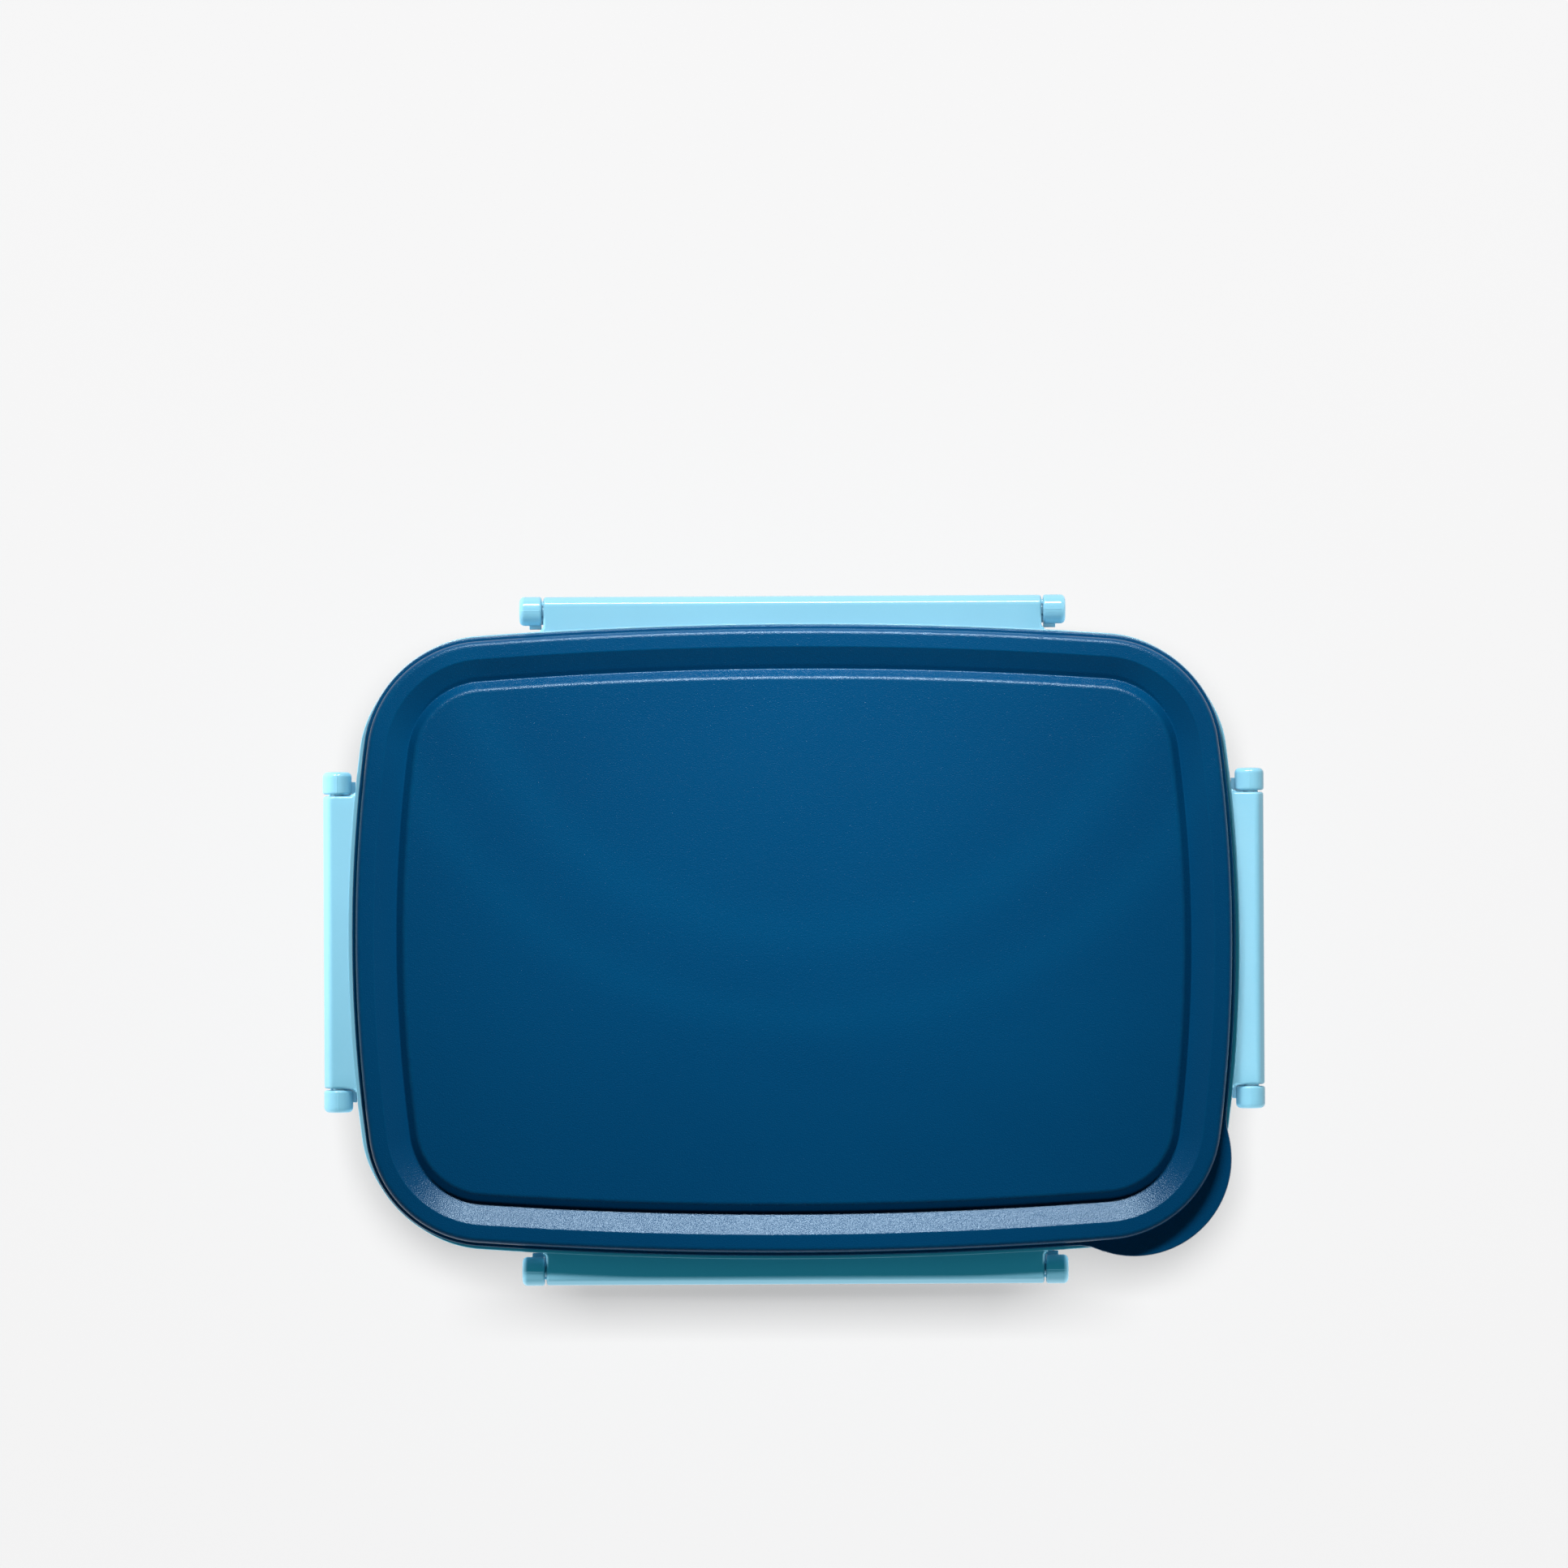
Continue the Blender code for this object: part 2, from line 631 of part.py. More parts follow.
def latch_mesh(name, bar_length):
    """Latch about its hinge axis: a plate with a finger lip and a hook, on two arms and knuckles."""
    half_wall = LATCH_WALL / 2
    top = latch_plate_top()
    tip = hook_tip()
    plate_length = bar_length + 2 * (KNUCKLE_GAP + ARM_WALL)
    plate = rounded(
        [
            (-half_wall, top, LATCH_EDGE),
            (-half_wall, -LATCH_DROP, LATCH_EDGE),
            (half_wall + LIP_REACH, -LATCH_DROP, LATCH_EDGE),
            (half_wall, -LATCH_DROP + LIP_RISE, LIP_RISE),
            (half_wall, top, LATCH_EDGE),
        ],
        closed=True,
    )
    hook = [(0, tip.y), (tip.x, tip.y), (tip.x, tip.y - HOOK_TIP), (0, tip.y - HOOK_HEIGHT)]
    hook_length = bar_length - 2 * HOOK_END_MARGIN
    arm_inside = -KNUCKLE_RADIUS - ARM_PROUD
    core = KNUCKLE_RADIUS / math.sqrt(2)
    arm_foot = top - 2 * LATCH_WALL
    arm_bulge = half_wall - LATCH_EDGE / 2
    arm = [
        (0, core),
        (arm_inside, 0),
        (arm_inside, -KNUCKLE_RADIUS),
        (-arm_bulge, arm_foot),
        (arm_bulge, arm_foot),
        (core, -core / 2),
    ]
    additions = [helper(prism(name + "_hook", hook, hook_length))]
    cuts = []
    for end in (-1, 1):
        cuts.append(latch_corner_cut(name, plate_length / 2, end))
        knuckle_start = end * (bar_length / 2 + KNUCKLE_GAP)
        knuckle_end = knuckle_start + end * KNUCKLE_LENGTH
        pin_start = end * (bar_length / 2 - PIN_LENGTH)
        arm_middle = knuckle_start + end * ARM_WALL / 2
        knuckle = round_bar(name + "_knuckle", KNUCKLE_RADIUS, knuckle_start, knuckle_end, KNUCKLE_ROUNDING)
        pin = round_bar(name + "_pin", PIN_RADIUS, pin_start, knuckle_start + end * KNUCKLE_LENGTH / 2)
        arm_placement = Matrix.Translation((arm_middle, 0, 0))
        additions.append(helper(knuckle))
        additions.append(helper(prism(name + "_arm", arm, ARM_WALL - 2 * ARM_INSET), arm_placement))
        additions.append(helper(pin))
    return combined(prism(name, plate, plate_length), additions=additions, cuts=cuts)


def make_latches():
    for name, bar_length, reach, turn in SIDES:
        mesh = latch_mesh(name, bar_length)
        add_part(name, mesh, LIGHT_BLUE, GLOSSY, hinge_placement(reach, turn))


clear_scene()
parts = new_collection("Snap Lid Food Container")
cutters = new_collection("Cutters")
make_base_tub()
make_seal_ring()
make_upper_tray()
make_snap_lid()
make_latches()
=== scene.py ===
"""Looks of a snap-lid food container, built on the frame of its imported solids.

Metres, +Z up, +Y to the back. The box is a tub, a tray that nests in its mouth on a soft seal, a
lid with a corner tab, and four clips that hang from bars on the tray. Each piece is made of
surfaces worked out with numpy: a section carried round the outline of the lid's flange, a section
drawn out along a hinge, a profile turned about one, or a stack of rounded rectangles. In a
section, offset is how far a point lies outside that outline, and is negative inside it.
"""

import json
import math

import bmesh
import bpy
import numpy as np
from mathutils import Matrix, Vector

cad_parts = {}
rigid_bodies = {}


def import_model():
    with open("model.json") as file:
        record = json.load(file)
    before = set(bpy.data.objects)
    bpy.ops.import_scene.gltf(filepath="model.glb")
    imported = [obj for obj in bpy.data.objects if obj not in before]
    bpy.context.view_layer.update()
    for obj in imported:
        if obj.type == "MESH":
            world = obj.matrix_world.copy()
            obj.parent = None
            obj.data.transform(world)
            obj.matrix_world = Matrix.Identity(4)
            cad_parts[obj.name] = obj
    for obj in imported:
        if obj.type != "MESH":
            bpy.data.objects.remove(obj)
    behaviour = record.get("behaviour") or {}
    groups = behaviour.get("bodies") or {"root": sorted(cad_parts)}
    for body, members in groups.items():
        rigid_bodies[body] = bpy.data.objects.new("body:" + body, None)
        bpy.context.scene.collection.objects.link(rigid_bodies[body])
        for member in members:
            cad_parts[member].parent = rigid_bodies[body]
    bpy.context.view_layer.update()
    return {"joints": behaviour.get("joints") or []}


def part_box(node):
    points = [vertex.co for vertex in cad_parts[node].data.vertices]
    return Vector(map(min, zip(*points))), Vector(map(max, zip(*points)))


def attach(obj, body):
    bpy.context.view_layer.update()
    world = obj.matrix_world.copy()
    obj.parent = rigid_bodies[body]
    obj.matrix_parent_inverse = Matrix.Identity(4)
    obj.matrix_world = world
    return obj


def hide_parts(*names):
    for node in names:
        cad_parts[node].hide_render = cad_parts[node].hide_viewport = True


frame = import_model()

# Levels and sizes that the solids give
lid_low, lid_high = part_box("snap_lid")
tray_low, tray_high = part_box("upper_tray")
tub_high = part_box("base_tub")[1]
seal_low, seal_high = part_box("seal_ring")
clip_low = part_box("latch_rear")[0]
hinges = {joint["child"]: joint["pos_m"] for joint in frame["joints"] if joint["type"] == "hinge"}

# Outline of the lid's flange
LID_LENGTH = 2 * lid_high.x
LID_WIDTH = 2 * lid_high.y
CORNER_RADIUS = 0.0286
END_BOW_RADIUS = 0.357
SIDE_BOW_RADIUS = 1.027
END_STEPS = 44
SIDE_STEPS = 60
CORNER_STEPS = 44

# Lid
LID_TOP = lid_high.z
LID_UNDERSIDE = lid_low.z
LID_WALL = 0.0016
LID_FLANGE = 0.0014
LID_STEP = 0.00095
LID_SHOULDER = 0.001
RIM_WIDTH = 0.00417
RIM_OUTER_FILLET = 0.0013
LID_FLANGE_EDGE = 0.00025
LID_FLANGE_LEAN = 0.0002
RIM_INNER_FILLET = 0.0005
SLOPE_RUN = 0.00525
VALLEY_DROP = 0.0029
VALLEY_FILLET = 0.0003
STEP_RUN = 0.00187
STEP_FILLET = 0.0014
PANEL_DROP = 0.0007
PANEL_LAND = 0.003
PANEL_CROWN = 0.00025
PLUG_WALL = 0.0013
PLUG_CLEARANCE = 0.0008
FLANGE_PART = 0.75
TAB_RADIUS = 0.0228
TAB_OFFSET = 0.0115
TAB_BEARING = math.radians(-50.3)
TAB_BLEND = 0.0007

# Tray, with its rim inside the lid's channel
FIT = 0.0003
TRAY_RIM = 0.0019
TRAY_LEDGE = 0.0031
LEDGE_STEP = 0.0003
TRAY_WALL = 0.0016
TRAY_FLANGE = 0.0024
TRAY_FLANGE_EDGE = 0.00025
END_OVERHANG = 0.00085
REAR_OVERHANG = 0.0003
FRONT_OVERHANG = 0.0007
REAR_CORNER_OVERHANG = 0.00005
FRONT_CORNER_OVERHANG = 0.00025
CORNER_BLEND = 5
TRAY_FLOOR_FILLET = 0.005
TRAY_FLOOR_LAND = 2 * TRAY_FLOOR_FILLET
SEAL_GROOVE = 0.0013
SEAL_LAND = 0.0005
NEST_GAP = 0.0005
FLOOR_SAG = 0.0002

# Seal
SEAL_WIDTH = 0.0024
SEAL_SIDE_GAP = 0.0002
SEAL_FURROW = 0.00025

# Tub
TUB_WALL = 0.0018
TUB_FLOOR_FILLET = 0.007
TUB_RIM_FILLET = 0.0008
TUB_FLOOR_LAND = 1.2 * TUB_FLOOR_FILLET
WALL_DRAFT = math.tan(math.radians(5))
FOOT_RECESS = 0.0008
FOOT_LAND = 4 * FOOT_RECESS
FOOT_WIDTH = 0.004
SKIRT_HEIGHT = 0.011
SKIRT_WALL = 0.0018
SKIRT_OVERHANG = 0.0002

# Hinge bars
SIDE_BAR_LENGTH = 0.1165
END_BAR_LENGTH = 0.0684
BAR_INSIDE = 0.0008
BAR_ROOT = 0.0012
BAR_WALL = 0.0014
BAR_END_BLOCK = 0.005
BAR_DRAFT = math.radians(2)
BAR_BEVEL_RUN = 0.0013
BAR_BEVEL_DROP = 0.0022
BAR_TOP_FILLET = 0.0015
BAR_BEVEL_FILLET = 0.002
BAR_FOOT_FILLET = 0.0007
BAR_INNER_FILLET = 0.0008
BAR_END_ROUNDING = 0.0006
BAR_END_FLARE = 0.0008
FLARE_STEPS = 7
FLARE_POWER = 15
BAR_ROWS = 24
BAR_CAP_ROWS = 20

# Clips
KNUCKLE_RADIUS = 0.0034
KNUCKLE_LENGTH = 0.0052
KNUCKLE_GAP = 0.0004
PIN_RADIUS = 0.0013
PIN_LENGTH = 0.0025
PIN_GAP = 0.0003
PARTING_RIDGE = 0.00006
RIDGE_SPREAD = math.radians(1.5)
RIDGE_STATIONS = (-2.2, -1.4, -0.7, 0.7, 1.4, 2.2)
RIDGE_FADE = 4
KNUCKLE_END_FILLET = 0.0012
ARM_WALL = 0.0028
ARM_PROUD = 0.00085
ARM_TOP_DROP = 0.0018
ARM_FOOT_DROP = 0.003
ARM_FALL = 0.5
SADDLE_DROP = 0.0049
SADDLE_REACH = 0.001
CLIP_WALL = 0.0022
CLIP_EDGE = 0.0006
CLIP_CORNER = 0.005
CLIP_TOP_DROP = 0.0048
CLIP_SHOULDER = 0.0028
LIP_REACH = 0.0021
LIP_RISE = 0.006
LIP_CURVE = 1.6
LIP_ROWS = 22
PLATE_ROWS = 12
PLATE_COLUMNS = 32
HOOK_REACH = 0.0029
HOOK_TOP = 0.01095
HOOK_HEIGHT = 0.003
HOOK_TIP = 0.0009
HOOK_END_MARGIN = 0.014

# Rounding and facets
FINE_EDGE = 0.00025
EDGE = 0.0004
SOFT_EDGE = 0.0006
ARC_STEP = math.radians(12)
GUARD = 0.00012
SHORT_STRAIGHT = 4 * GUARD
FILLET_SHARE = 0.48
ROUND_POINTS = 6
MILLIMETRES = 1000
CAP_ROWS = 10
TURN_STEPS = 72
SHARP_ANGLE = math.radians(32)

# Levels and offsets that follow
LID_FLANGE_TOP = LID_UNDERSIDE + LID_FLANGE
LID_CEILING = LID_TOP - LID_WALL
FLANGE_TOP = LID_UNDERSIDE - FIT
FLANGE_UNDERSIDE = FLANGE_TOP - TRAY_FLANGE
LEDGE_TOP = FLANGE_TOP - LEDGE_STEP
TRAY_UNDERSIDE = tray_low.z
TRAY_FLOOR = TRAY_UNDERSIDE + TRAY_WALL
TUB_RIM = tub_high.z
TUB_FLOOR = FOOT_RECESS + TUB_WALL
LID_SKIRT_INSIDE = -LID_STEP - LID_WALL
TRAY_RIM_OUTSIDE = LID_SKIRT_INSIDE - FIT
TRAY_RIM_INSIDE = TRAY_RIM_OUTSIDE - TRAY_RIM
PLUG_OUTSIDE = TRAY_RIM_INSIDE - FIT
PLUG_INSIDE = PLUG_OUTSIDE - PLUG_WALL
TRAY_INSIDE = TRAY_RIM_INSIDE - TRAY_LEDGE
TRAY_OUTSIDE = TRAY_INSIDE + TRAY_WALL
TUB_INSIDE = TRAY_OUTSIDE + NEST_GAP
TUB_OUTSIDE = TUB_INSIDE + TUB_WALL
GROOVE_INSIDE = TUB_INSIDE + SEAL_LAND
GROOVE_OUTSIDE = GROOVE_INSIDE + SEAL_WIDTH + 2 * SEAL_SIDE_GAP

# Each side: name, latch node, body, bar length, bow radius, overhang, quarter turns from the rear
SIDES = (
    ("rear", "latch_rear", "rear_latch", SIDE_BAR_LENGTH, SIDE_BOW_RADIUS, REAR_OVERHANG, 0),
    ("left", "latch_left", "left_latch", END_BAR_LENGTH, END_BOW_RADIUS, END_OVERHANG, 1),
    ("front", "latch_front", "front_latch", SIDE_BAR_LENGTH, SIDE_BOW_RADIUS, FRONT_OVERHANG, 2),
    ("right", "latch_right", "right_latch", END_BAR_LENGTH, END_BOW_RADIUS, END_OVERHANG, 3),
)

PIECE_NAMES = []


# Outline

def corner_centre():
    """Centre of the corner arc at +X +Y, which touches both bows from inside.

    Its distance from a bow's centre is that bow's radius less its own.
    """
    end_middle = np.array([LID_LENGTH / 2 - END_BOW_RADIUS, 0])
    side_middle = np.array([0, LID_WIDTH / 2 - SIDE_BOW_RADIUS])
    end_reach = END_BOW_RADIUS - CORNER_RADIUS
    side_reach = SIDE_BOW_RADIUS - CORNER_RADIUS
    between = side_middle - end_middle
    distance = np.hypot(*between)
    along = (distance**2 + end_reach**2 - side_reach**2) / (2 * distance)
    across = math.sqrt(end_reach**2 - along**2)
    direction = between / distance
    return end_middle + along * direction + across * np.array([-direction[1], direction[0]])


def arc_stations(centre_x, centre_y, radius, start, end, steps):
    """Columns of centre x, centre y, radius, direction x and direction y at even angles of an arc."""
    angles = np.linspace(start, end, steps, endpoint=False)
    same = np.ones(steps)
    columns = [centre_x * same, centre_y * same, radius * same, np.cos(angles), np.sin(angles)]
    return np.column_stack(columns)


def outline_stations():
    """The whole outline, anticlockwise: bowed end, corner, bowed side, corner, and the same again."""
    corner_x, corner_y = corner_centre()
    end_x = LID_LENGTH / 2 - END_BOW_RADIUS
    side_y = LID_WIDTH / 2 - SIDE_BOW_RADIUS
    end_turn = math.atan2(corner_y, corner_x - end_x)
    side_turn = math.atan2(corner_y - side_y, corner_x)
    half = math.pi
    runs = []
    for flip in (1, -1):
        base = 0 if flip == 1 else half
        runs += [
            arc_stations(flip * end_x, 0, END_BOW_RADIUS, base - end_turn, base + end_turn, END_STEPS),
            arc_stations(flip * corner_x, flip * corner_y, CORNER_RADIUS,
                         base + end_turn, base + side_turn, CORNER_STEPS),
            arc_stations(0, flip * side_y, SIDE_BOW_RADIUS,
                         base + side_turn, base + half - side_turn, SIDE_STEPS),
            arc_stations(-flip * corner_x, flip * corner_y, CORNER_RADIUS,
                         base + half - side_turn, base + half - end_turn, CORNER_STEPS),
        ]
    return np.vstack(runs)


OUTLINE = outline_stations()
CENTRE_X, CENTRE_Y, ARC_RADIUS, OUT_X, OUT_Y = OUTLINE.T
OUTLINE_X = CENTRE_X + ARC_RADIUS * OUT_X
OUTLINE_Y = CENTRE_Y + ARC_RADIUS * OUT_Y


# Sections and surfaces

def rounded_section(corners, closed=False):
    """Section through (across, height, radius) corners, going clockwise round the solid.

    A corner with a radius becomes an arc that touches both of its edges, and a guard point a
    little way along the straight beside it keeps that straight flat under smooth shading. Returns
    the points and how much of an edge each is, for wear and a painted highlight: 1 on an arc that
    stands out, 0 elsewhere.
    """
    points = np.array([corner[:2] for corner in corners], float)
    runs = []
    for index, here in enumerate(points):
        radius = corners[index][2]
        if radius == 0 or (not closed and index in (0, len(corners) - 1)):
            runs.append((here[None], np.zeros(1)))
            continue
        back = points[index - 1] - here
        ahead = points[(index + 1) % len(points)] - here
        back_length = np.hypot(*back)
        ahead_length = np.hypot(*ahead)
        back = back / back_length
        ahead = ahead / ahead_length
        half_angle = math.acos(np.clip(back @ ahead, -1, 1)) / 2
        longest = FILLET_SHARE * min(back_length, ahead_length)
        reach = min(radius / math.tan(half_angle), longest)
        bisector = (back + ahead) / np.hypot(*(back + ahead))
        centre = here + bisector * reach / math.cos(half_angle)
        first = here + back * reach - centre
        last = here + ahead * reach - centre
        turn = math.atan2(first[0] * last[1] - first[1] * last[0], first @ last)
        steps = max(2, math.ceil(abs(turn) / ARC_STEP))
        angles = math.atan2(first[1], first[0]) + turn * np.linspace(0, 1, steps + 1)
        arc = centre + np.hypot(*first) * np.column_stack([np.cos(angles), np.sin(angles)])
        runs.append((arc, np.full(steps + 1, 1.0 if turn < 0 else 0.0)))
    line = []
    share = []
    for index, (arc, wear_and_highlight_share) in enumerate(runs):
        line.append(arc)
        share.append(wear_and_highlight_share)
        if index == len(runs) - 1 and not closed:
            continue
        following = runs[(index + 1) % len(runs)][0]
        straight = following[0] - arc[-1]
        length = np.hypot(*straight)
        if length < SHORT_STRAIGHT:
            continue
        step = straight * GUARD / length
        if len(arc) > 1:
            line.append(arc[-1:] + step)
            share.append(np.zeros(1))
        if len(following) > 1:
            line.append(following[:1] - step)
            share.append(np.zeros(1))
    return np.vstack(line), np.concatenate(share)


def parallel(line, distance):
    """A line of points moved to its left by distance, with mitred corners."""
    along = np.diff(line, axis=0)
    along /= np.hypot(along[:, 0], along[:, 1])[:, None]
    normals = np.column_stack([-along[:, 1], along[:, 0]])
    before = np.vstack([normals[:1], normals])
    after = np.vstack([normals, normals[-1:]])
    mitre = (before + after) / (1 + np.sum(before * after, axis=1))[:, None]
    return line + distance * mitre


def ring_points(offsets, heights, scales):
    """Rows of points round the outline: arc centre plus (arc radius + offset) times direction.

    A row's scale shrinks it towards the middle of the box.
    """
    reach = ARC_RADIUS + offsets
    x = scales * (CENTRE_X + reach * OUT_X)
    y = scales * (CENTRE_Y + reach * OUT_Y)
    z = np.broadcast_to(heights, x.shape)
    return np.stack([x, y, z], axis=-1)


def grid_faces(rows, columns, rows_in_loop=False):
    """Quads between neighbours in a grid of points whose columns run round in a loop."""
    index = np.arange(rows * columns).reshape(rows, columns)
    if rows_in_loop:
        index = np.vstack([index, index[:1]])
    following = np.roll(index, -1, axis=1)
    quads = np.stack([index[:-1], index[1:], following[1:], following[:-1]], axis=-1)
    return quads.reshape(-1, 4).tolist()


def pole_faces(rows, columns):
    """Triangles from the first row to a start pole and from the last row to an end pole.

    The two poles come after the grid's own points.
    """
    column = np.arange(columns)
    following = np.roll(column, -1)
    start = np.full(columns, rows * columns)
    last = (rows - 1) * columns
    first_fan = np.column_stack([start, column, following])
    last_fan = np.column_stack([last + column, start + 1, last + following])
    return first_fan.tolist() + last_fan.tolist()


def new_mesh(name, points, faces, wear_and_highlight_share):
    """A smooth mesh that keeps each point's share of an edge, for wear and a painted highlight."""
    mesh = bpy.data.meshes.new(name)
    mesh.from_pydata(points.tolist(), [], faces)
    # Each point's share of an edge that stands out, read by the finishes for wear and a painted highlight
    attribute = mesh.attributes.new("wear_and_highlight_edge", "FLOAT", "POINT")
    attribute.data.foreach_set("value", wear_and_highlight_share.astype(np.float32))
    mesh.shade_smooth()
    mesh.set_sharp_from_angle(angle=SHARP_ANGLE)
    return mesh


def closed_mesh(name, grid, poles, wear_and_highlight_share):
    """A grid of points whose first and last rows are each closed to a pole."""
    rows, columns = grid.shape[:2]
    points = np.concatenate([grid.reshape(-1, 3), poles])
    wear_and_highlight_share = np.concatenate([wear_and_highlight_share.ravel(), np.zeros(2)])
    return new_mesh(name, points, pole_faces(rows, columns) + grid_faces(rows, columns), wear_and_highlight_share)


def hoop(name, section):
    """A closed section carried round the outline."""
    line, wear_and_highlight_share = section
    points = ring_points(line[:, :1], line[:, 1:], 1.0)
    rows, columns = points.shape[:2]
    faces = grid_faces(rows, columns, rows_in_loop=True)
    return new_mesh(name, points.reshape(-1, 3), faces, np.repeat(wear_and_highlight_share, columns))


def shell(name, section, top_crown=0.0, under_crown=0.0, extra=None):
    """An open section carried round the outline, and closed across the middle at both its ends.

    Each closing is rows of the end ring shrunk by s from 1 to 0, raised by crown * (1 - s^2)^2.
    extra, where given, is how far each point's offset grows at each station.
    """
    line, wear_and_highlight_share = section
    shrink = np.linspace(0, 1, CAP_ROWS + 1)[1:-1, None]
    lift = (1 - shrink**2) ** 2
    offsets = np.broadcast_to(line[:, :1], (len(line), len(OUTLINE)))
    if extra is not None:
        offsets = offsets + extra
    inner = ring_points(line[0, 0], line[0, 1] + top_crown * lift, shrink)
    middle = ring_points(offsets, line[:, 1:], 1.0)
    outer = ring_points(line[-1, 0], line[-1, 1] + under_crown * lift[::-1], shrink[::-1])
    grid = np.concatenate([inner, middle, outer])
    poles = np.array([[0, 0, line[0, 1] + top_crown], [0, 0, line[-1, 1] + under_crown]])
    wear_and_highlight_share = np.concatenate([np.zeros(len(inner)), wear_and_highlight_share, np.zeros(len(outer))])
    return closed_mesh(name, grid, poles, np.repeat(wear_and_highlight_share, len(OUTLINE)))


def drawn(name, section, half_length, rounding, move=None, flare=None, middle_x=0.0, middle_rows=2,
          pole=None, cap_rows=0):
    """A closed (y, z) section drawn out along X, with rounded ends.

    Towards an end X runs on by rounding * sin t while the section steps back along its own inward
    mitres by rounding * (1 - cos t), and rows that shrink to a pole close it. move, where given,
    is a function of X and how far each point of the section goes along Y and Z for each unit of
    it. flare, where given, is a function of Y for how much further out the ends lie, and dies away
    from them with a high power of X.
    """
    line, wear_and_highlight_share = section
    along = np.roll(line, -1, axis=0) - line
    along /= np.hypot(along[:, 0], along[:, 1])[:, None]
    after = np.column_stack([along[:, 1], -along[:, 0]])
    before = np.roll(after, 1, axis=0)
    inward = (before + after) / (1 + np.sum(before * after, axis=1))[:, None]
    turn = np.linspace(0, math.pi / 2, ROUND_POINTS)
    run = np.linspace(-1, 1, middle_rows + 2)[1:-1] * (half_length - rounding)
    end_x = half_length - rounding + rounding * np.sin(turn)
    x = np.concatenate([-end_x[::-1], run, end_x])
    end_step = rounding * (1 - np.cos(turn))
    step = np.concatenate([end_step[::-1], np.zeros(middle_rows), end_step])
    section_points = line + step[:, None, None] * inward
    if move is not None:
        function, share = move
        section_points = section_points + function(x)[:, None, None] * share
    pole = line.mean(axis=0) if pole is None else np.array(pole)
    shrink = np.linspace(1, 0, cap_rows + 2)[1:-1, None, None]
    first_cap = pole + shrink[::-1] * (section_points[0] - pole)
    last_cap = pole + shrink * (section_points[-1] - pole)
    section_points = np.concatenate([first_cap, section_points, last_cap])
    cap_x = np.full(cap_rows, half_length)
    x = np.concatenate([-cap_x, x, cap_x])
    across = np.repeat(x[:, None], len(line), axis=1)
    if flare is not None:
        across = across + flare(section_points[..., 0]) * (across / half_length) ** FLARE_POWER
    grid = np.concatenate([across[..., None] + middle_x, section_points], axis=-1)
    end_wear_and_highlight_share = np.sin(2 * turn)
    plain = np.zeros(cap_rows)
    row_wear_and_highlight_share = np.concatenate([plain, end_wear_and_highlight_share[::-1], np.zeros(middle_rows), end_wear_and_highlight_share, plain])
    section_wear_and_highlight_share = np.concatenate([plain, np.ones(len(row_wear_and_highlight_share) - 2 * cap_rows), plain])
    all_wear_and_highlight_share = np.maximum(row_wear_and_highlight_share[:, None], section_wear_and_highlight_share[:, None] * wear_and_highlight_share)
    poles = np.array([[end * half_length + middle_x, *pole] for end in (-1, 1)])
    return closed_mesh(name, grid, poles, all_wear_and_highlight_share)


def turned(name, section, ridge, half_turn):
    """A profile of (along, radius) points turned about X, with a fine ridge along its top and foot.

    The ridge is a bell curve in the angle, and fades with a power of the radius.
    """
    line, wear_and_highlight_share = section
    coarse = np.linspace(0, 2 * math.pi, TURN_STEPS, endpoint=False)
    fine = RIDGE_SPREAD * np.array(RIDGE_STATIONS)
    angles = -np.sort(np.concatenate([coarse, math.pi / 2 + fine, 1.5 * math.pi + fine]))
    from_ridge = np.abs(np.mod(-angles, math.pi) - math.pi / 2)
    bell = np.exp(-((from_ridge / RIDGE_SPREAD) ** 2))
    inner = line[1:-1]
    share = (inner[:, 1:] / inner[:, 1].max()) ** RIDGE_FADE
    radius = inner[:, 1:] + ridge * bell * share
    x = np.broadcast_to(inner[:, :1], radius.shape)
    grid = np.stack([x, radius * np.cos(angles), radius * np.sin(angles)], axis=-1)
    poles = np.array([[line[0, 0], 0, 0], [line[-1, 0], 0, 0]])
    sign = np.array([-1, -1, 1]) if half_turn else 1
    return closed_mesh(name, sign * grid, sign * poles, np.maximum(wear_and_highlight_share[1:-1, None], bell * share))


def without_folds(mesh):
    """Cuts a mesh into triangles and takes out pairs that a Boolean can leave back to back."""
    work = bmesh.new()
    work.from_mesh(mesh)
    bmesh.ops.triangulate(work, faces=work.faces)
    work.to_mesh(mesh)
    corners = np.empty(len(mesh.loops), dtype=np.int32)
    mesh.loops.foreach_get("vertex_index", corners)
    corners = np.sort(corners.reshape(-1, 3), axis=1)
    _, kinds, counts = np.unique(corners, axis=0, return_inverse=True, return_counts=True)
    folded = np.flatnonzero(counts[kinds.ravel()] > 1)
    work.faces.ensure_lookup_table()
    bmesh.ops.delete(work, geom=[work.faces[number] for number in folded], context="FACES")
    work.to_mesh(mesh)
    work.free()


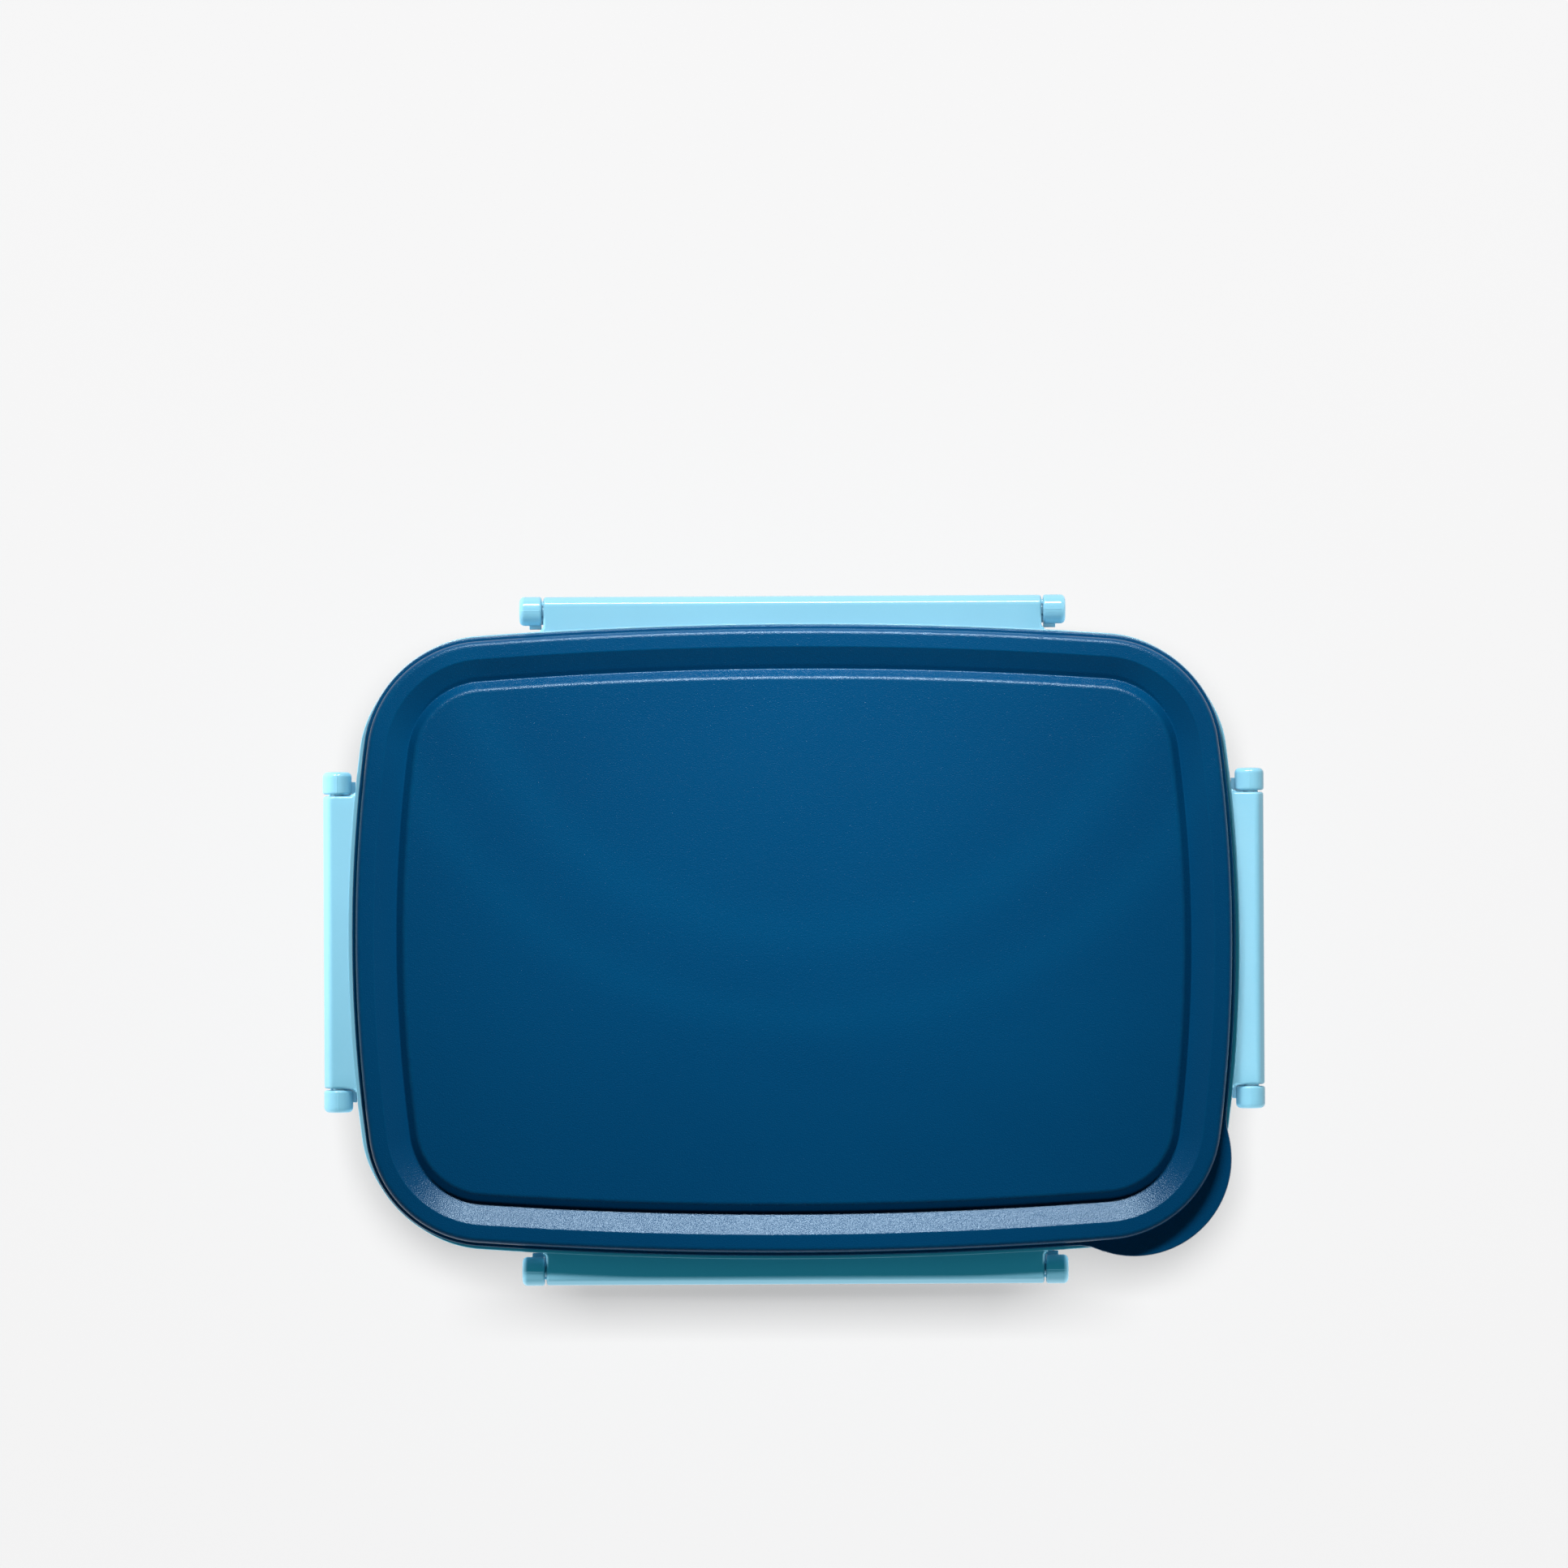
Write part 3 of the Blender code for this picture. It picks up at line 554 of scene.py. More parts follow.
def combined(name, mesh, additions=(), cuts=()):
    """One closed mesh: a mesh with the additions joined to it and the cuts taken out of it.

    The work is done in millimetres, which suits the Boolean solver's own tolerance.
    """
    base = bpy.data.objects.new(name + "_base", mesh)
    bpy.context.scene.collection.objects.link(base)
    mesh.transform(Matrix.Scale(MILLIMETRES, 4))
    tools = []
    for operation, group in (("UNION", additions), ("DIFFERENCE", cuts)):
        for tool_mesh in group:
            tool_mesh.transform(Matrix.Scale(MILLIMETRES, 4))
            tool = bpy.data.objects.new(name + "_tool", tool_mesh)
            bpy.context.scene.collection.objects.link(tool)
            tools.append(tool)
            boolean = base.modifiers.new(operation, "BOOLEAN")
            boolean.operation = operation
            boolean.solver = "EXACT"
            boolean.object = tool
    graph = bpy.context.evaluated_depsgraph_get()
    result = bpy.data.meshes.new_from_object(base.evaluated_get(graph))
    result.name = name
    result.transform(Matrix.Scale(1 / MILLIMETRES, 4))
    without_folds(result)
    for scaffold in [base] + tools:
        bpy.data.objects.remove(scaffold, do_unlink=True)
    result.shade_smooth()
    result.set_sharp_from_angle(angle=SHARP_ANGLE)
    return result


def add_piece(name, mesh, material, body, node):
    """A finished piece that rides on a body and stands for a solid."""
    piece = bpy.data.objects.new(name, mesh)
    bpy.context.scene.collection.objects.link(piece)
    mesh.materials.clear()
    mesh.materials.append(material)
    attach(piece, body)
    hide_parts(node)
    PIECE_NAMES.append(name)


# Lid, tray, seal and tub

def tab_reach():
    """How far the lid's flange runs out at each station to the edge of the tab's circle.

    The distance along the outline's normal to the circle, joined to 0 by a soft maximum that makes
    the small hollow fillets at the tab's two tips.
    """
    corner_x, corner_y = corner_centre()
    to_x = OUTLINE_X - corner_x - TAB_OFFSET * math.cos(TAB_BEARING)
    to_y = OUTLINE_Y + corner_y - TAB_OFFSET * math.sin(TAB_BEARING)
    along = to_x * OUT_X + to_y * OUT_Y
    inside = along**2 - to_x**2 - to_y**2 + TAB_RADIUS**2
    distance = np.where(inside > 0, np.sqrt(np.maximum(inside, 0)) - along, -TAB_RADIUS)
    return (distance + np.sqrt(distance**2 + TAB_BLEND**2)) / 2


def make_lid(material):
    """Raised panel, valley, slope, flat rim, flange and tab, over a channel and a plug."""
    rim_inside = -LID_SHOULDER - RIM_WIDTH
    valley = rim_inside - SLOPE_RUN
    panel_edge = valley - STEP_RUN
    panel_top = LID_TOP - PANEL_DROP
    valley_floor = LID_TOP - VALLEY_DROP
    plug_bottom = LEDGE_TOP + PLUG_CLEARANCE
    upper = np.array([
        [panel_edge - PANEL_LAND, panel_top],
        [panel_edge, panel_top],
        [valley, valley_floor],
        [rim_inside, LID_TOP],
    ])
    panel_under, step_under, valley_under, slope_under = parallel(upper, -LID_WALL)
    slope = (slope_under[1] - valley_under[1]) / (slope_under[0] - valley_under[0])
    plug_root = valley_under[1] + slope * (PLUG_INSIDE - valley_under[0])
    section = rounded_section([
        (*upper[0], 0),
        (*upper[1], STEP_FILLET),
        (*upper[2], VALLEY_FILLET),
        (*upper[3], RIM_INNER_FILLET),
        (-LID_SHOULDER, LID_TOP, RIM_OUTER_FILLET),
        (-LID_SHOULDER, LID_FLANGE_TOP, 0),
        (-LID_FLANGE_LEAN, LID_FLANGE_TOP, LID_FLANGE_EDGE),
        (0, LID_UNDERSIDE, FINE_EDGE),
        (LID_SKIRT_INSIDE, LID_UNDERSIDE, FINE_EDGE),
        (LID_SKIRT_INSIDE, LID_CEILING, EDGE),
        (PLUG_OUTSIDE, LID_CEILING, FINE_EDGE),
        (PLUG_OUTSIDE, plug_bottom, EDGE),
        (PLUG_INSIDE, plug_bottom, EDGE),
        (PLUG_INSIDE, plug_root, FINE_EDGE),
        (*valley_under, FINE_EDGE),
        (*step_under, EDGE),
        (*panel_under, 0),
    ])
    on_flange = section[0][:, :1] > -FLANGE_PART * LID_SHOULDER
    extra = np.where(on_flange, tab_reach(), 0.0)
    mesh = shell("lid_shell", section, PANEL_CROWN, PANEL_CROWN, extra)
    add_piece("lid_shell", mesh, material, "lid", "snap_lid")


def drafted(offset, from_height, to_height):
    """Offset of a wall that leans in from one height down to another."""
    return offset - (from_height - to_height) * WALL_DRAFT


def make_tray(material):
    """Shallow tray with a ledge, an upstanding rim, and a flange grooved for the seal."""
    floor_inside = drafted(TRAY_INSIDE, LEDGE_TOP, TRAY_FLOOR)
    floor_outside = drafted(TRAY_OUTSIDE, LEDGE_TOP, TRAY_UNDERSIDE)
    outer_fillet = TRAY_FLOOR_FILLET + TRAY_WALL
    groove_top = FLANGE_UNDERSIDE + SEAL_GROOVE
    rim_top = tray_high.z
    section = rounded_section([
        (floor_inside - TRAY_FLOOR_LAND, TRAY_FLOOR, 0),
        (floor_inside, TRAY_FLOOR, TRAY_FLOOR_FILLET),
        (TRAY_INSIDE, LEDGE_TOP, SOFT_EDGE),
        (TRAY_RIM_INSIDE, LEDGE_TOP, FINE_EDGE),
        (TRAY_RIM_INSIDE, rim_top, SOFT_EDGE),
        (TRAY_RIM_OUTSIDE, rim_top, SOFT_EDGE),
        (TRAY_RIM_OUTSIDE, FLANGE_TOP, FINE_EDGE),
        (0, FLANGE_TOP, TRAY_FLANGE_EDGE),
        (0, FLANGE_UNDERSIDE, EDGE),
        (GROOVE_OUTSIDE, FLANGE_UNDERSIDE, FINE_EDGE),
        (GROOVE_OUTSIDE, groove_top, FINE_EDGE),
        (GROOVE_INSIDE, groove_top, FINE_EDGE),
        (GROOVE_INSIDE, FLANGE_UNDERSIDE, 0),
        (drafted(TRAY_OUTSIDE, LEDGE_TOP, FLANGE_UNDERSIDE), FLANGE_UNDERSIDE, 0),
        (floor_outside, TRAY_UNDERSIDE, outer_fillet),
        (floor_outside - TRAY_FLOOR_LAND, TRAY_UNDERSIDE, 0),
    ])
    on_edge = section[0][:, :1] > GROOVE_OUTSIDE / 2
    mesh = shell("tray_shell", section, -FLOOR_SAG, -FLOOR_SAG, np.where(on_edge, overhang(), 0.0))
    add_piece("tray_shell", mesh, material, "tray", "upper_tray")


def overhang():
    """How far the flange shows past the lid: a width for each end, the rear and the front, less at corners.

    The widths are blended by the direction's x^2 and y^2, and the corner's by a multiple of x^2 y^2.
    """
    side = np.where(OUT_Y > 0, REAR_OVERHANG, FRONT_OVERHANG)
    at_corner = np.where(OUT_Y > 0, REAR_CORNER_OVERHANG, FRONT_CORNER_OVERHANG)
    along = END_OVERHANG * OUT_X**2 + side * OUT_Y**2
    corner = np.clip(CORNER_BLEND * OUT_X**2 * OUT_Y**2, 0, 1)
    return along + corner * (at_corner - along)


def make_seal(material):
    """Soft hoop in the tray's groove, with a furrow along its foot between two lips."""
    inside = GROOVE_INSIDE + SEAL_SIDE_GAP
    outside = GROOVE_OUTSIDE - SEAL_SIDE_GAP
    middle = (inside + outside) / 2
    section = rounded_section([
        (inside, seal_high.z, FINE_EDGE),
        (outside, seal_high.z, FINE_EDGE),
        (outside, seal_low.z, SOFT_EDGE),
        (middle, seal_low.z + SEAL_FURROW, EDGE),
        (inside, seal_low.z, SOFT_EDGE),
    ], closed=True)
    add_piece("seal_hoop", hoop("seal_hoop", section), material, "tray", "seal_ring")


def make_tub(material):
    """Deep tub whose rim turns over into a skirt, on a raised foot ring."""
    floor_inside = drafted(TUB_INSIDE, TUB_RIM, TUB_FLOOR)
    rim_underside = TUB_RIM - TUB_WALL
    foot_outside = drafted(TUB_OUTSIDE, TUB_RIM, 0)
    outer_fillet = TUB_FLOOR_FILLET + TUB_WALL
    foot_inside = foot_outside - outer_fillet - FOOT_WIDTH
    skirt_inside = SKIRT_OVERHANG - SKIRT_WALL
    skirt_bottom = TUB_RIM - SKIRT_HEIGHT
    section = rounded_section([
        (floor_inside - TUB_FLOOR_LAND, TUB_FLOOR, 0),
        (floor_inside, TUB_FLOOR, TUB_FLOOR_FILLET),
        (TUB_INSIDE, TUB_RIM, EDGE),
        (SKIRT_OVERHANG, TUB_RIM, TUB_RIM_FILLET),
        (SKIRT_OVERHANG, skirt_bottom, EDGE),
        (skirt_inside, skirt_bottom, EDGE),
        (skirt_inside, rim_underside, SOFT_EDGE),
        (drafted(TUB_OUTSIDE, TUB_RIM, rim_underside), rim_underside, SOFT_EDGE),
        (foot_outside, 0, outer_fillet),
        (foot_inside, 0, FINE_EDGE),
        (foot_inside - FOOT_RECESS, FOOT_RECESS, FINE_EDGE),
        (foot_inside - FOOT_LAND, FOOT_RECESS, 0),
    ])
    mesh = shell("tub_shell", section, FLOOR_SAG, FLOOR_SAG)
    add_piece("tub_shell", mesh, material, "base", "base_tub")


# Hinge bars and clips, in a hinge's own frame: X along its axis, +Y away from the box

def on_hinge(mesh, body, quarter_turns):
    """Turns a mesh about +Z by quarter turns and carries it to a hinge's place."""
    points = np.empty(len(mesh.vertices) * 3, np.float32)
    mesh.vertices.foreach_get("co", points)
    x, y, z = points.reshape(-1, 3).T
    for _ in range(quarter_turns):
        x, y = -y, x
    place = np.array(hinges[body])
    points = np.column_stack([x, y, z]) + place
    mesh.vertices.foreach_set("co", points.astype(np.float32).ravel())
    mesh.update()
    return mesh


def bar_reach():
    """How far a bar's outer face lies outside the lid's outline."""
    return tray_high.y - LID_WIDTH / 2


def bar_mesh(name, length, bow_radius, flange_overhang):
    """Bar with a bevelled outer edge, cored out from below, with a blind socket in each end.

    Its inner side follows the bow of the outline, which falls away by x^2 / (2 * bow radius), and
    its web flares out along the flange in a quarter circle at each end.
    """
    reach = KNUCKLE_RADIUS
    bevel_foot = reach - BAR_BEVEL_DROP
    bevel_lean = (reach + bevel_foot) * math.tan(BAR_DRAFT)
    lean = bevel_lean + BAR_BEVEL_RUN
    foot = reach + BAR_FOOT_FILLET * ((1 + math.sin(BAR_DRAFT)) / math.cos(BAR_DRAFT) - 1)
    outline = KNUCKLE_RADIUS - bar_reach()
    inside = outline + BAR_INSIDE
    root = outline - BAR_ROOT
    web = FLANGE_UNDERSIDE + FIT - hinges["rear_latch"][2]
    end_sag = (length / 2) ** 2 / (2 * bow_radius)
    steepness = end_sag / (inside - root)
    from_flange = BAR_END_FLARE * (1 - np.sin(np.linspace(math.pi / 2, 0, FLARE_STEPS)))
    flare_y = (outline + flange_overhang - end_sag + from_flange + steepness * inside) / (1 + steepness)
    line, wear_and_highlight_share = rounded_section([
        (root, reach, 0),
        *[(y, reach, 0) for y in flare_y],
        (foot - lean, reach, BAR_TOP_FILLET),
        (foot - bevel_lean, bevel_foot, BAR_BEVEL_FILLET),
        (foot, -reach, BAR_FOOT_FILLET),
        (inside, -reach, BAR_INNER_FILLET),
        (inside, web, FINE_EDGE),
        *[(y, web, 0) for y in flare_y[::-1]],
        (root, web, 0),
    ], closed=True)
    share = np.clip((inside - line[:, 0]) / (inside - root), 0, 1)
    share = np.where(line[:, 1] > web - GUARD, share, 0.0)

    def bow(x):
        """How far the outline falls away at X."""
        return -(x**2) / (2 * bow_radius)

    def flare(y):
        """How much further out the web ends at Y."""
        out = np.clip((y - outline - flange_overhang + end_sag) / BAR_END_FLARE, 0, 1)
        return BAR_END_FLARE * (1 - np.sqrt(1 - (1 - out) ** 2))

    move = (bow, np.column_stack([share, np.zeros(len(share))]))
    body = drawn(name, (line, wear_and_highlight_share), length / 2, BAR_END_ROUNDING, move, flare,
                 middle_rows=BAR_ROWS, pole=(0, (reach + web) / 2), cap_rows=BAR_CAP_ROWS)
    core_half = (length - 2 * BAR_END_BLOCK) / 2
    core = rounded_section([
        (inside + BAR_WALL, reach - BAR_WALL, EDGE),
        (reach - lean - BAR_WALL, reach - BAR_WALL, EDGE),
        (reach - lean - BAR_WALL, -2 * reach, 0),
        (inside + BAR_WALL, -2 * reach, 0),
    ], closed=True)
    cuts = [drawn(name + "_core", core, core_half, FINE_EDGE)]
    socket = rounded_section([
        (length / 2 - PIN_LENGTH - PIN_GAP, 0, 0),
        (length / 2 - PIN_LENGTH - PIN_GAP, PIN_RADIUS + PIN_GAP, 0),
        (length / 2 + KNUCKLE_GAP, PIN_RADIUS + PIN_GAP, 0),
        (length / 2 + KNUCKLE_GAP, 0, 0),
    ])
    cuts += [turned(name + "_socket", socket, 0, half_turn) for half_turn in (False, True)]
    return combined(name, body, cuts=cuts)


def plate_mesh(name, half_length, drop):
    """Plate of a clip: rounded rectangles in level planes, stacked from its top edge to its foot.

    The lower corners follow a quarter circle, and the outer face swings out into a finger lip by
    reach times a power of the way down the lip.
    """
    top = -CLIP_TOP_DROP
    turn = np.linspace(math.pi / 2, 0, ROUND_POINTS)
    top_z = top - CLIP_EDGE + CLIP_EDGE * np.sin(turn)
    plain_z = np.linspace(top - 2 * CLIP_EDGE, -drop + LIP_RISE + GUARD, PLATE_ROWS)
    lip_z = np.linspace(-drop + LIP_RISE, -drop + CLIP_EDGE + GUARD, LIP_ROWS)
    foot_z = -drop + CLIP_EDGE - CLIP_EDGE * np.sin(turn[::-1])
    z = np.concatenate([top_z, plain_z, lip_z, foot_z])
    edge_step = CLIP_EDGE * (1 - np.cos(turn))
    step = np.concatenate([edge_step, np.zeros(len(plain_z) + len(lip_z)), edge_step[::-1]])
    in_corner = np.clip(CLIP_CORNER - (z + drop), 0, CLIP_CORNER - CLIP_EDGE)
    half = half_length - CLIP_CORNER + np.sqrt(CLIP_CORNER**2 - in_corner**2)
    lip = np.clip((LIP_RISE - (z + drop)) / LIP_RISE, 0, 1)
    inner_y = np.full(len(z), -CLIP_WALL / 2)
    outer_y = CLIP_WALL / 2 + LIP_REACH * lip**LIP_CURVE
    corner = np.linspace(0, math.pi / 2, ROUND_POINTS)
    along = np.linspace(-1, 1, PLATE_COLUMNS + 2)[1:-1]
    plain = np.zeros(PLATE_COLUMNS)
    ones = np.ones(ROUND_POINTS)
    sign_x = np.concatenate([ones, -along, -ones, -ones, along, ones])
    sign_y = np.concatenate([ones, plain + 1, ones, -ones, plain - 1, -ones])
    angle = np.concatenate([
        corner,
        plain + math.pi / 2,
        corner + math.pi / 2,
        corner + math.pi,
        plain + 1.5 * math.pi,
        corner + 1.5 * math.pi,
    ])
    radius = np.maximum(CLIP_EDGE - step, GUARD)[:, None]
    middle = ((inner_y + outer_y) / 2)[:, None]
    half_wall = ((outer_y - inner_y) / 2 - step)[:, None] - radius
    half_run = (half - step)[:, None] - radius
    x = sign_x * half_run + radius * np.cos(angle)
    y = middle + sign_y * half_wall + radius * np.sin(angle)
    points = np.stack([x, y, np.broadcast_to(z[:, None], x.shape)], axis=-1)
    rows, columns = x.shape
    row_wear_and_highlight_share = np.concatenate([ones, np.zeros(len(plain_z) + len(lip_z)), ones])
    column_wear_and_highlight_share = np.concatenate([ones, plain, ones, ones, plain, ones])
    wear_and_highlight_share = np.maximum(row_wear_and_highlight_share[:, None], column_wear_and_highlight_share).ravel()
    caps = [list(range(columns)), list(range(rows * columns - 1, (rows - 1) * columns - 1, -1))]
    return new_mesh(name, points.reshape(-1, 3), grid_faces(rows, columns) + caps, wear_and_highlight_share)


def clip_mesh(name, bar_length, drop):
    """A clip: plate, hook along its back, and at each end a saddle, an arm, a knuckle and a stub pin."""
    bar_end = bar_length / 2
    knuckle_start = bar_end + KNUCKLE_GAP
    knuckle_end = knuckle_start + KNUCKLE_LENGTH
    half_wall = CLIP_WALL / 2 - GUARD
    foot = -CLIP_TOP_DROP - 2 * CLIP_WALL
    plate = plate_mesh(name, knuckle_start + CLIP_SHOULDER, drop)
    hook = rounded_section([
        (-HOOK_REACH, -HOOK_TOP, FINE_EDGE),
        (0, -HOOK_TOP, 0),
        (0, -HOOK_TOP - HOOK_HEIGHT, 0),
        (-HOOK_REACH, -HOOK_TOP - HOOK_TIP, FINE_EDGE),
    ], closed=True)
    additions = [drawn(name + "_hook", hook, bar_end - HOOK_END_MARGIN, FINE_EDGE / 2)]
    saddle = rounded_section([
        (-KNUCKLE_RADIUS, -SADDLE_DROP, EDGE),
        (KNUCKLE_RADIUS - CLIP_WALL / 2, -SADDLE_DROP, EDGE),
        (half_wall, foot, FINE_EDGE),
        (-half_wall, foot, FINE_EDGE),
    ], closed=True)
    arm_inside = -KNUCKLE_RADIUS - ARM_PROUD
    core = KNUCKLE_RADIUS / math.sqrt(2)
    arm = rounded_section([
        (arm_inside, -ARM_TOP_DROP, EDGE),
        (0, 0, 0),
        (core, -core / 2, SOFT_EDGE),
        (half_wall, foot, FINE_EDGE),
        (-half_wall, foot, FINE_EDGE),
        (arm_inside, -ARM_FOOT_DROP, SOFT_EDGE),
    ], closed=True)
    tilt = np.clip((arm[0][:, 1] - foot) / (-ARM_TOP_DROP - foot), 0, 1)
    tilt = np.column_stack([np.zeros(len(tilt)), ARM_FALL * tilt])
    profile = rounded_section([
        (bar_end - PIN_LENGTH, 0, 0),
        (bar_end - PIN_LENGTH, PIN_RADIUS, FINE_EDGE),
        (knuckle_start, PIN_RADIUS, FINE_EDGE / 2),
        (knuckle_start, KNUCKLE_RADIUS, SOFT_EDGE),
        (knuckle_end, KNUCKLE_RADIUS, KNUCKLE_END_FILLET),
        (knuckle_end + GUARD, 0, 0),
    ])
    saddle_half = (KNUCKLE_GAP + 2 * SADDLE_REACH) / 2
    for end in (-1, 1):
        def fall(x):
            """Distance from the arm's middle, away from the bar."""
            return end * x

        arm_middle = end * (knuckle_start + GUARD + ARM_WALL / 2)
        saddle_middle = end * (bar_end + KNUCKLE_GAP / 2)
        additions += [
            turned(name + "_knuckle", profile, PARTING_RIDGE, end < 0),
            drawn(name + "_arm", arm, ARM_WALL / 2, FINE_EDGE / 2, (fall, tilt), middle_x=arm_middle),
            drawn(name + "_saddle", saddle, saddle_half, FINE_EDGE / 2, middle_x=saddle_middle),
        ]
    return combined(name, plate, additions=additions)


def make_bars_and_clips(material):
    """A bar of the tray and a clip that hangs from it, on each side."""
    for side, node, body, length, bow_radius, flange_overhang, quarter_turns in SIDES:
        drop = hinges[body][2] - clip_low.z
        bar = bar_mesh("bar_" + side, length, bow_radius, flange_overhang)
        add_piece("bar_" + side, on_hinge(bar, body, quarter_turns), material,
                  "tray", "upper_tray")
        clip = clip_mesh("clip_" + side, length, drop)
        add_piece("clip_" + side, on_hinge(clip, body, quarter_turns), material,
                  body, node)


# Finishes

UNIT = (0.0, 1.0)

# Noise of the grain, and the share of scale and height of its wider part
FINE_GRAIN = {"Detail": 2.0, "Roughness": 0.6}
WIDE_GRAIN = {"Detail": 2.0}
WIDE_SHARE = 0.12

# Noise of the flow marks and of the breaks in rubbed edges with their painted highlight, and the part of its
# range that is used
FLOW_NOISE = {"Detail": 3.0, "Roughness": 0.45, "Distortion": 0.4}
FLOW_RANGE = (0.3, 0.7)
WEAR_AND_HIGHLIGHT_NOISE = {"Detail": 4.0}
WEAR_AND_HIGHLIGHT_RANGE = (0.35, 0.7)

# Painted sheen on the lid's panel, as pale rings standing in for light caught by shallow ripples: their tone,
# the point that they go round, and radius, width and strength of each
SHEEN_RING_TONE = (0.0, 0.075, 0.195, 1)
SHEEN_RING_CENTRE = (0.004, 0.087, 0.0)
SHEEN_RINGS = (
    (0.0846, 0.0057, 0.45),
    (0.105, 0.005, 0.42),
)

# Each finish: scales of its grain and its drift, two tones, range of roughness and depth of grain
LID_LOOK = {
    "grain": 3600.0,
    "drift": 14.0,
    "tones": ((0.0, 0.059, 0.163, 1), (0.0, 0.065, 0.176, 1)),
    "roughness": (0.23, 0.29),
    "depth": 0.00008,
}
BODY_LOOK = {
    "grain": 1500.0,
    "drift": 22.0,
    "tones": ((0.31, 0.63, 0.80, 1), (0.325, 0.66, 0.83, 1)),
    "roughness": (0.12, 0.18),
    "depth": 0.000001,
}
SEAL_LOOK = {
    "grain": 2200.0,
    "drift": 60.0,
    "tones": ((0.74, 0.78, 0.79, 1), (0.82, 0.85, 0.86, 1)),
    "roughness": (0.42, 0.6),
    "depth": 0.000003,
}

# Edges and dust: scale of the breaks, share and tone of edges made paler for wear and as a painted highlight,
# the specks and their tone
LID_WEAR_HIGHLIGHT_AND_DUST = {
    "breaks": 500.0,
    "wear": 0.08,
    "rubbed": (0.0, 0.16, 0.30, 1),
    "specks": {"Scale": 90.0, "Share": 0.08, "Size": 0.02},
    "dust": (0.55, 0.62, 0.66, 1),
}
BODY_WEAR_HIGHLIGHT_AND_DUST = {
    "breaks": 700.0,
    "wear": 0.06,
    "rubbed": (0.55, 0.82, 0.93, 1),
    "specks": {"Scale": 110.0, "Share": 0.02, "Size": 0.02},
    "dust": (0.12, 0.3, 0.38, 1),
}
DUST_SHARE = 0.5
LID_SPECULAR = 0.46
LID_SPECULAR_TINT = (0.62, 0.83, 1.0, 1)
BODY_SPECULAR = 0.3
SEAL_SCATTER = 0.3
SEAL_SCATTER_RADIUS = (0.002, 0.002, 0.002)


class Nodes:
    """Short hand for adding and joining the nodes of one tree."""

    def __init__(self, tree):
        self.tree = tree

    def fill(self, socket, value):
        """Joins an input to another node's output, or gives it a value of its own."""
        if isinstance(value, bpy.types.NodeSocket):
            self.tree.links.new(value, socket)
        else:
            socket.default_value = value

    def add(self, kind, values=None, **settings):
        """A new node, with its settings and the values of its inputs."""
        node = self.tree.nodes.new(kind)
        for key, value in settings.items():
            setattr(node, key, value)
        for key, value in (values or {}).items():
            self.fill(node.inputs[key], value)
        return node

    def math(self, operation, first, second=0.0, clamp=False):
        """The result of a sum on two values."""
        node = self.add("ShaderNodeMath", {0: first, 1: second}, operation=operation, use_clamp=clamp)
        return node.outputs[0]

    def mix(self, factor, first, second):
        """A colour between two others."""
        node = self.add("ShaderNodeMix", data_type="RGBA")
        colours = [socket for socket in node.inputs if socket.type == "RGBA"]
        for socket, value in zip((node.inputs[0], *colours), (factor, first, second)):
            self.fill(socket, value)
        return next(socket for socket in node.outputs if socket.type == "RGBA")

    def place(self):
        """The shaded point's place in its object's own frame."""
        return self.add("ShaderNodeTexCoord").outputs["Object"]

    def noise(self, scale, values):
        """Noise at the shaded point's place."""
        return self.add("ShaderNodeTexNoise", {"Vector": self.place(), "Scale": scale, **values}).outputs[0]

    def ranged(self, value, old, new, **settings):
        """A value carried from one range to another, and held inside it."""
        ends = {"From Min": old[0], "From Max": old[1], "To Min": new[0], "To Max": new[1]}
        return self.add("ShaderNodeMapRange", {"Value": value, **ends}, **settings).outputs[0]

    def distance(self, point, target):
        """How far a point is from a fixed one."""
        node = self.add("ShaderNodeVectorMath", {0: point, 1: target}, operation="DISTANCE")
        return node.outputs["Value"]

    def effect(self, group, values):
        """A shared effect placed in a material with its own values."""
        return self.add("ShaderNodeGroup", values, node_tree=group).outputs[0]


def new_group(name, inputs, output):
    """An empty shader group with float sockets: its nodes' short hand, its inputs and its one output."""
    group = bpy.data.node_groups.new(name, "ShaderNodeTree")
    for socket, value in inputs.items():
        made = group.interface.new_socket(socket, in_out="INPUT", socket_type="NodeSocketFloat")
        made.default_value = value
    group.interface.new_socket(output, in_out="OUTPUT", socket_type="NodeSocketFloat")
    nodes = Nodes(group)
    return group, nodes, nodes.add("NodeGroupInput").outputs, nodes.add("NodeGroupOutput").inputs[0]


def moulded_grain():
    """Fine grain of a mould's spark-eroded face: two sizes of noise added together."""
    group, nodes, taken, given = new_group("Moulded grain", {"Scale": 4000.0}, "Height")
    fine = nodes.noise(taken["Scale"], FINE_GRAIN)
    wide = nodes.noise(nodes.math("MULTIPLY", taken["Scale"], WIDE_SHARE), WIDE_GRAIN)
    nodes.fill(given, nodes.math("ADD", fine, nodes.math("MULTIPLY", wide, WIDE_SHARE)))
    return group


def flow_marks():
    """Slow drift of tone that the melt leaves as it fills the mould, 0 to 1."""
    group, nodes, taken, given = new_group("Flow marks", {"Scale": 16.0}, "Drift")
    nodes.fill(given, nodes.ranged(nodes.noise(taken["Scale"], FLOW_NOISE), FLOW_RANGE, UNIT))
    return group


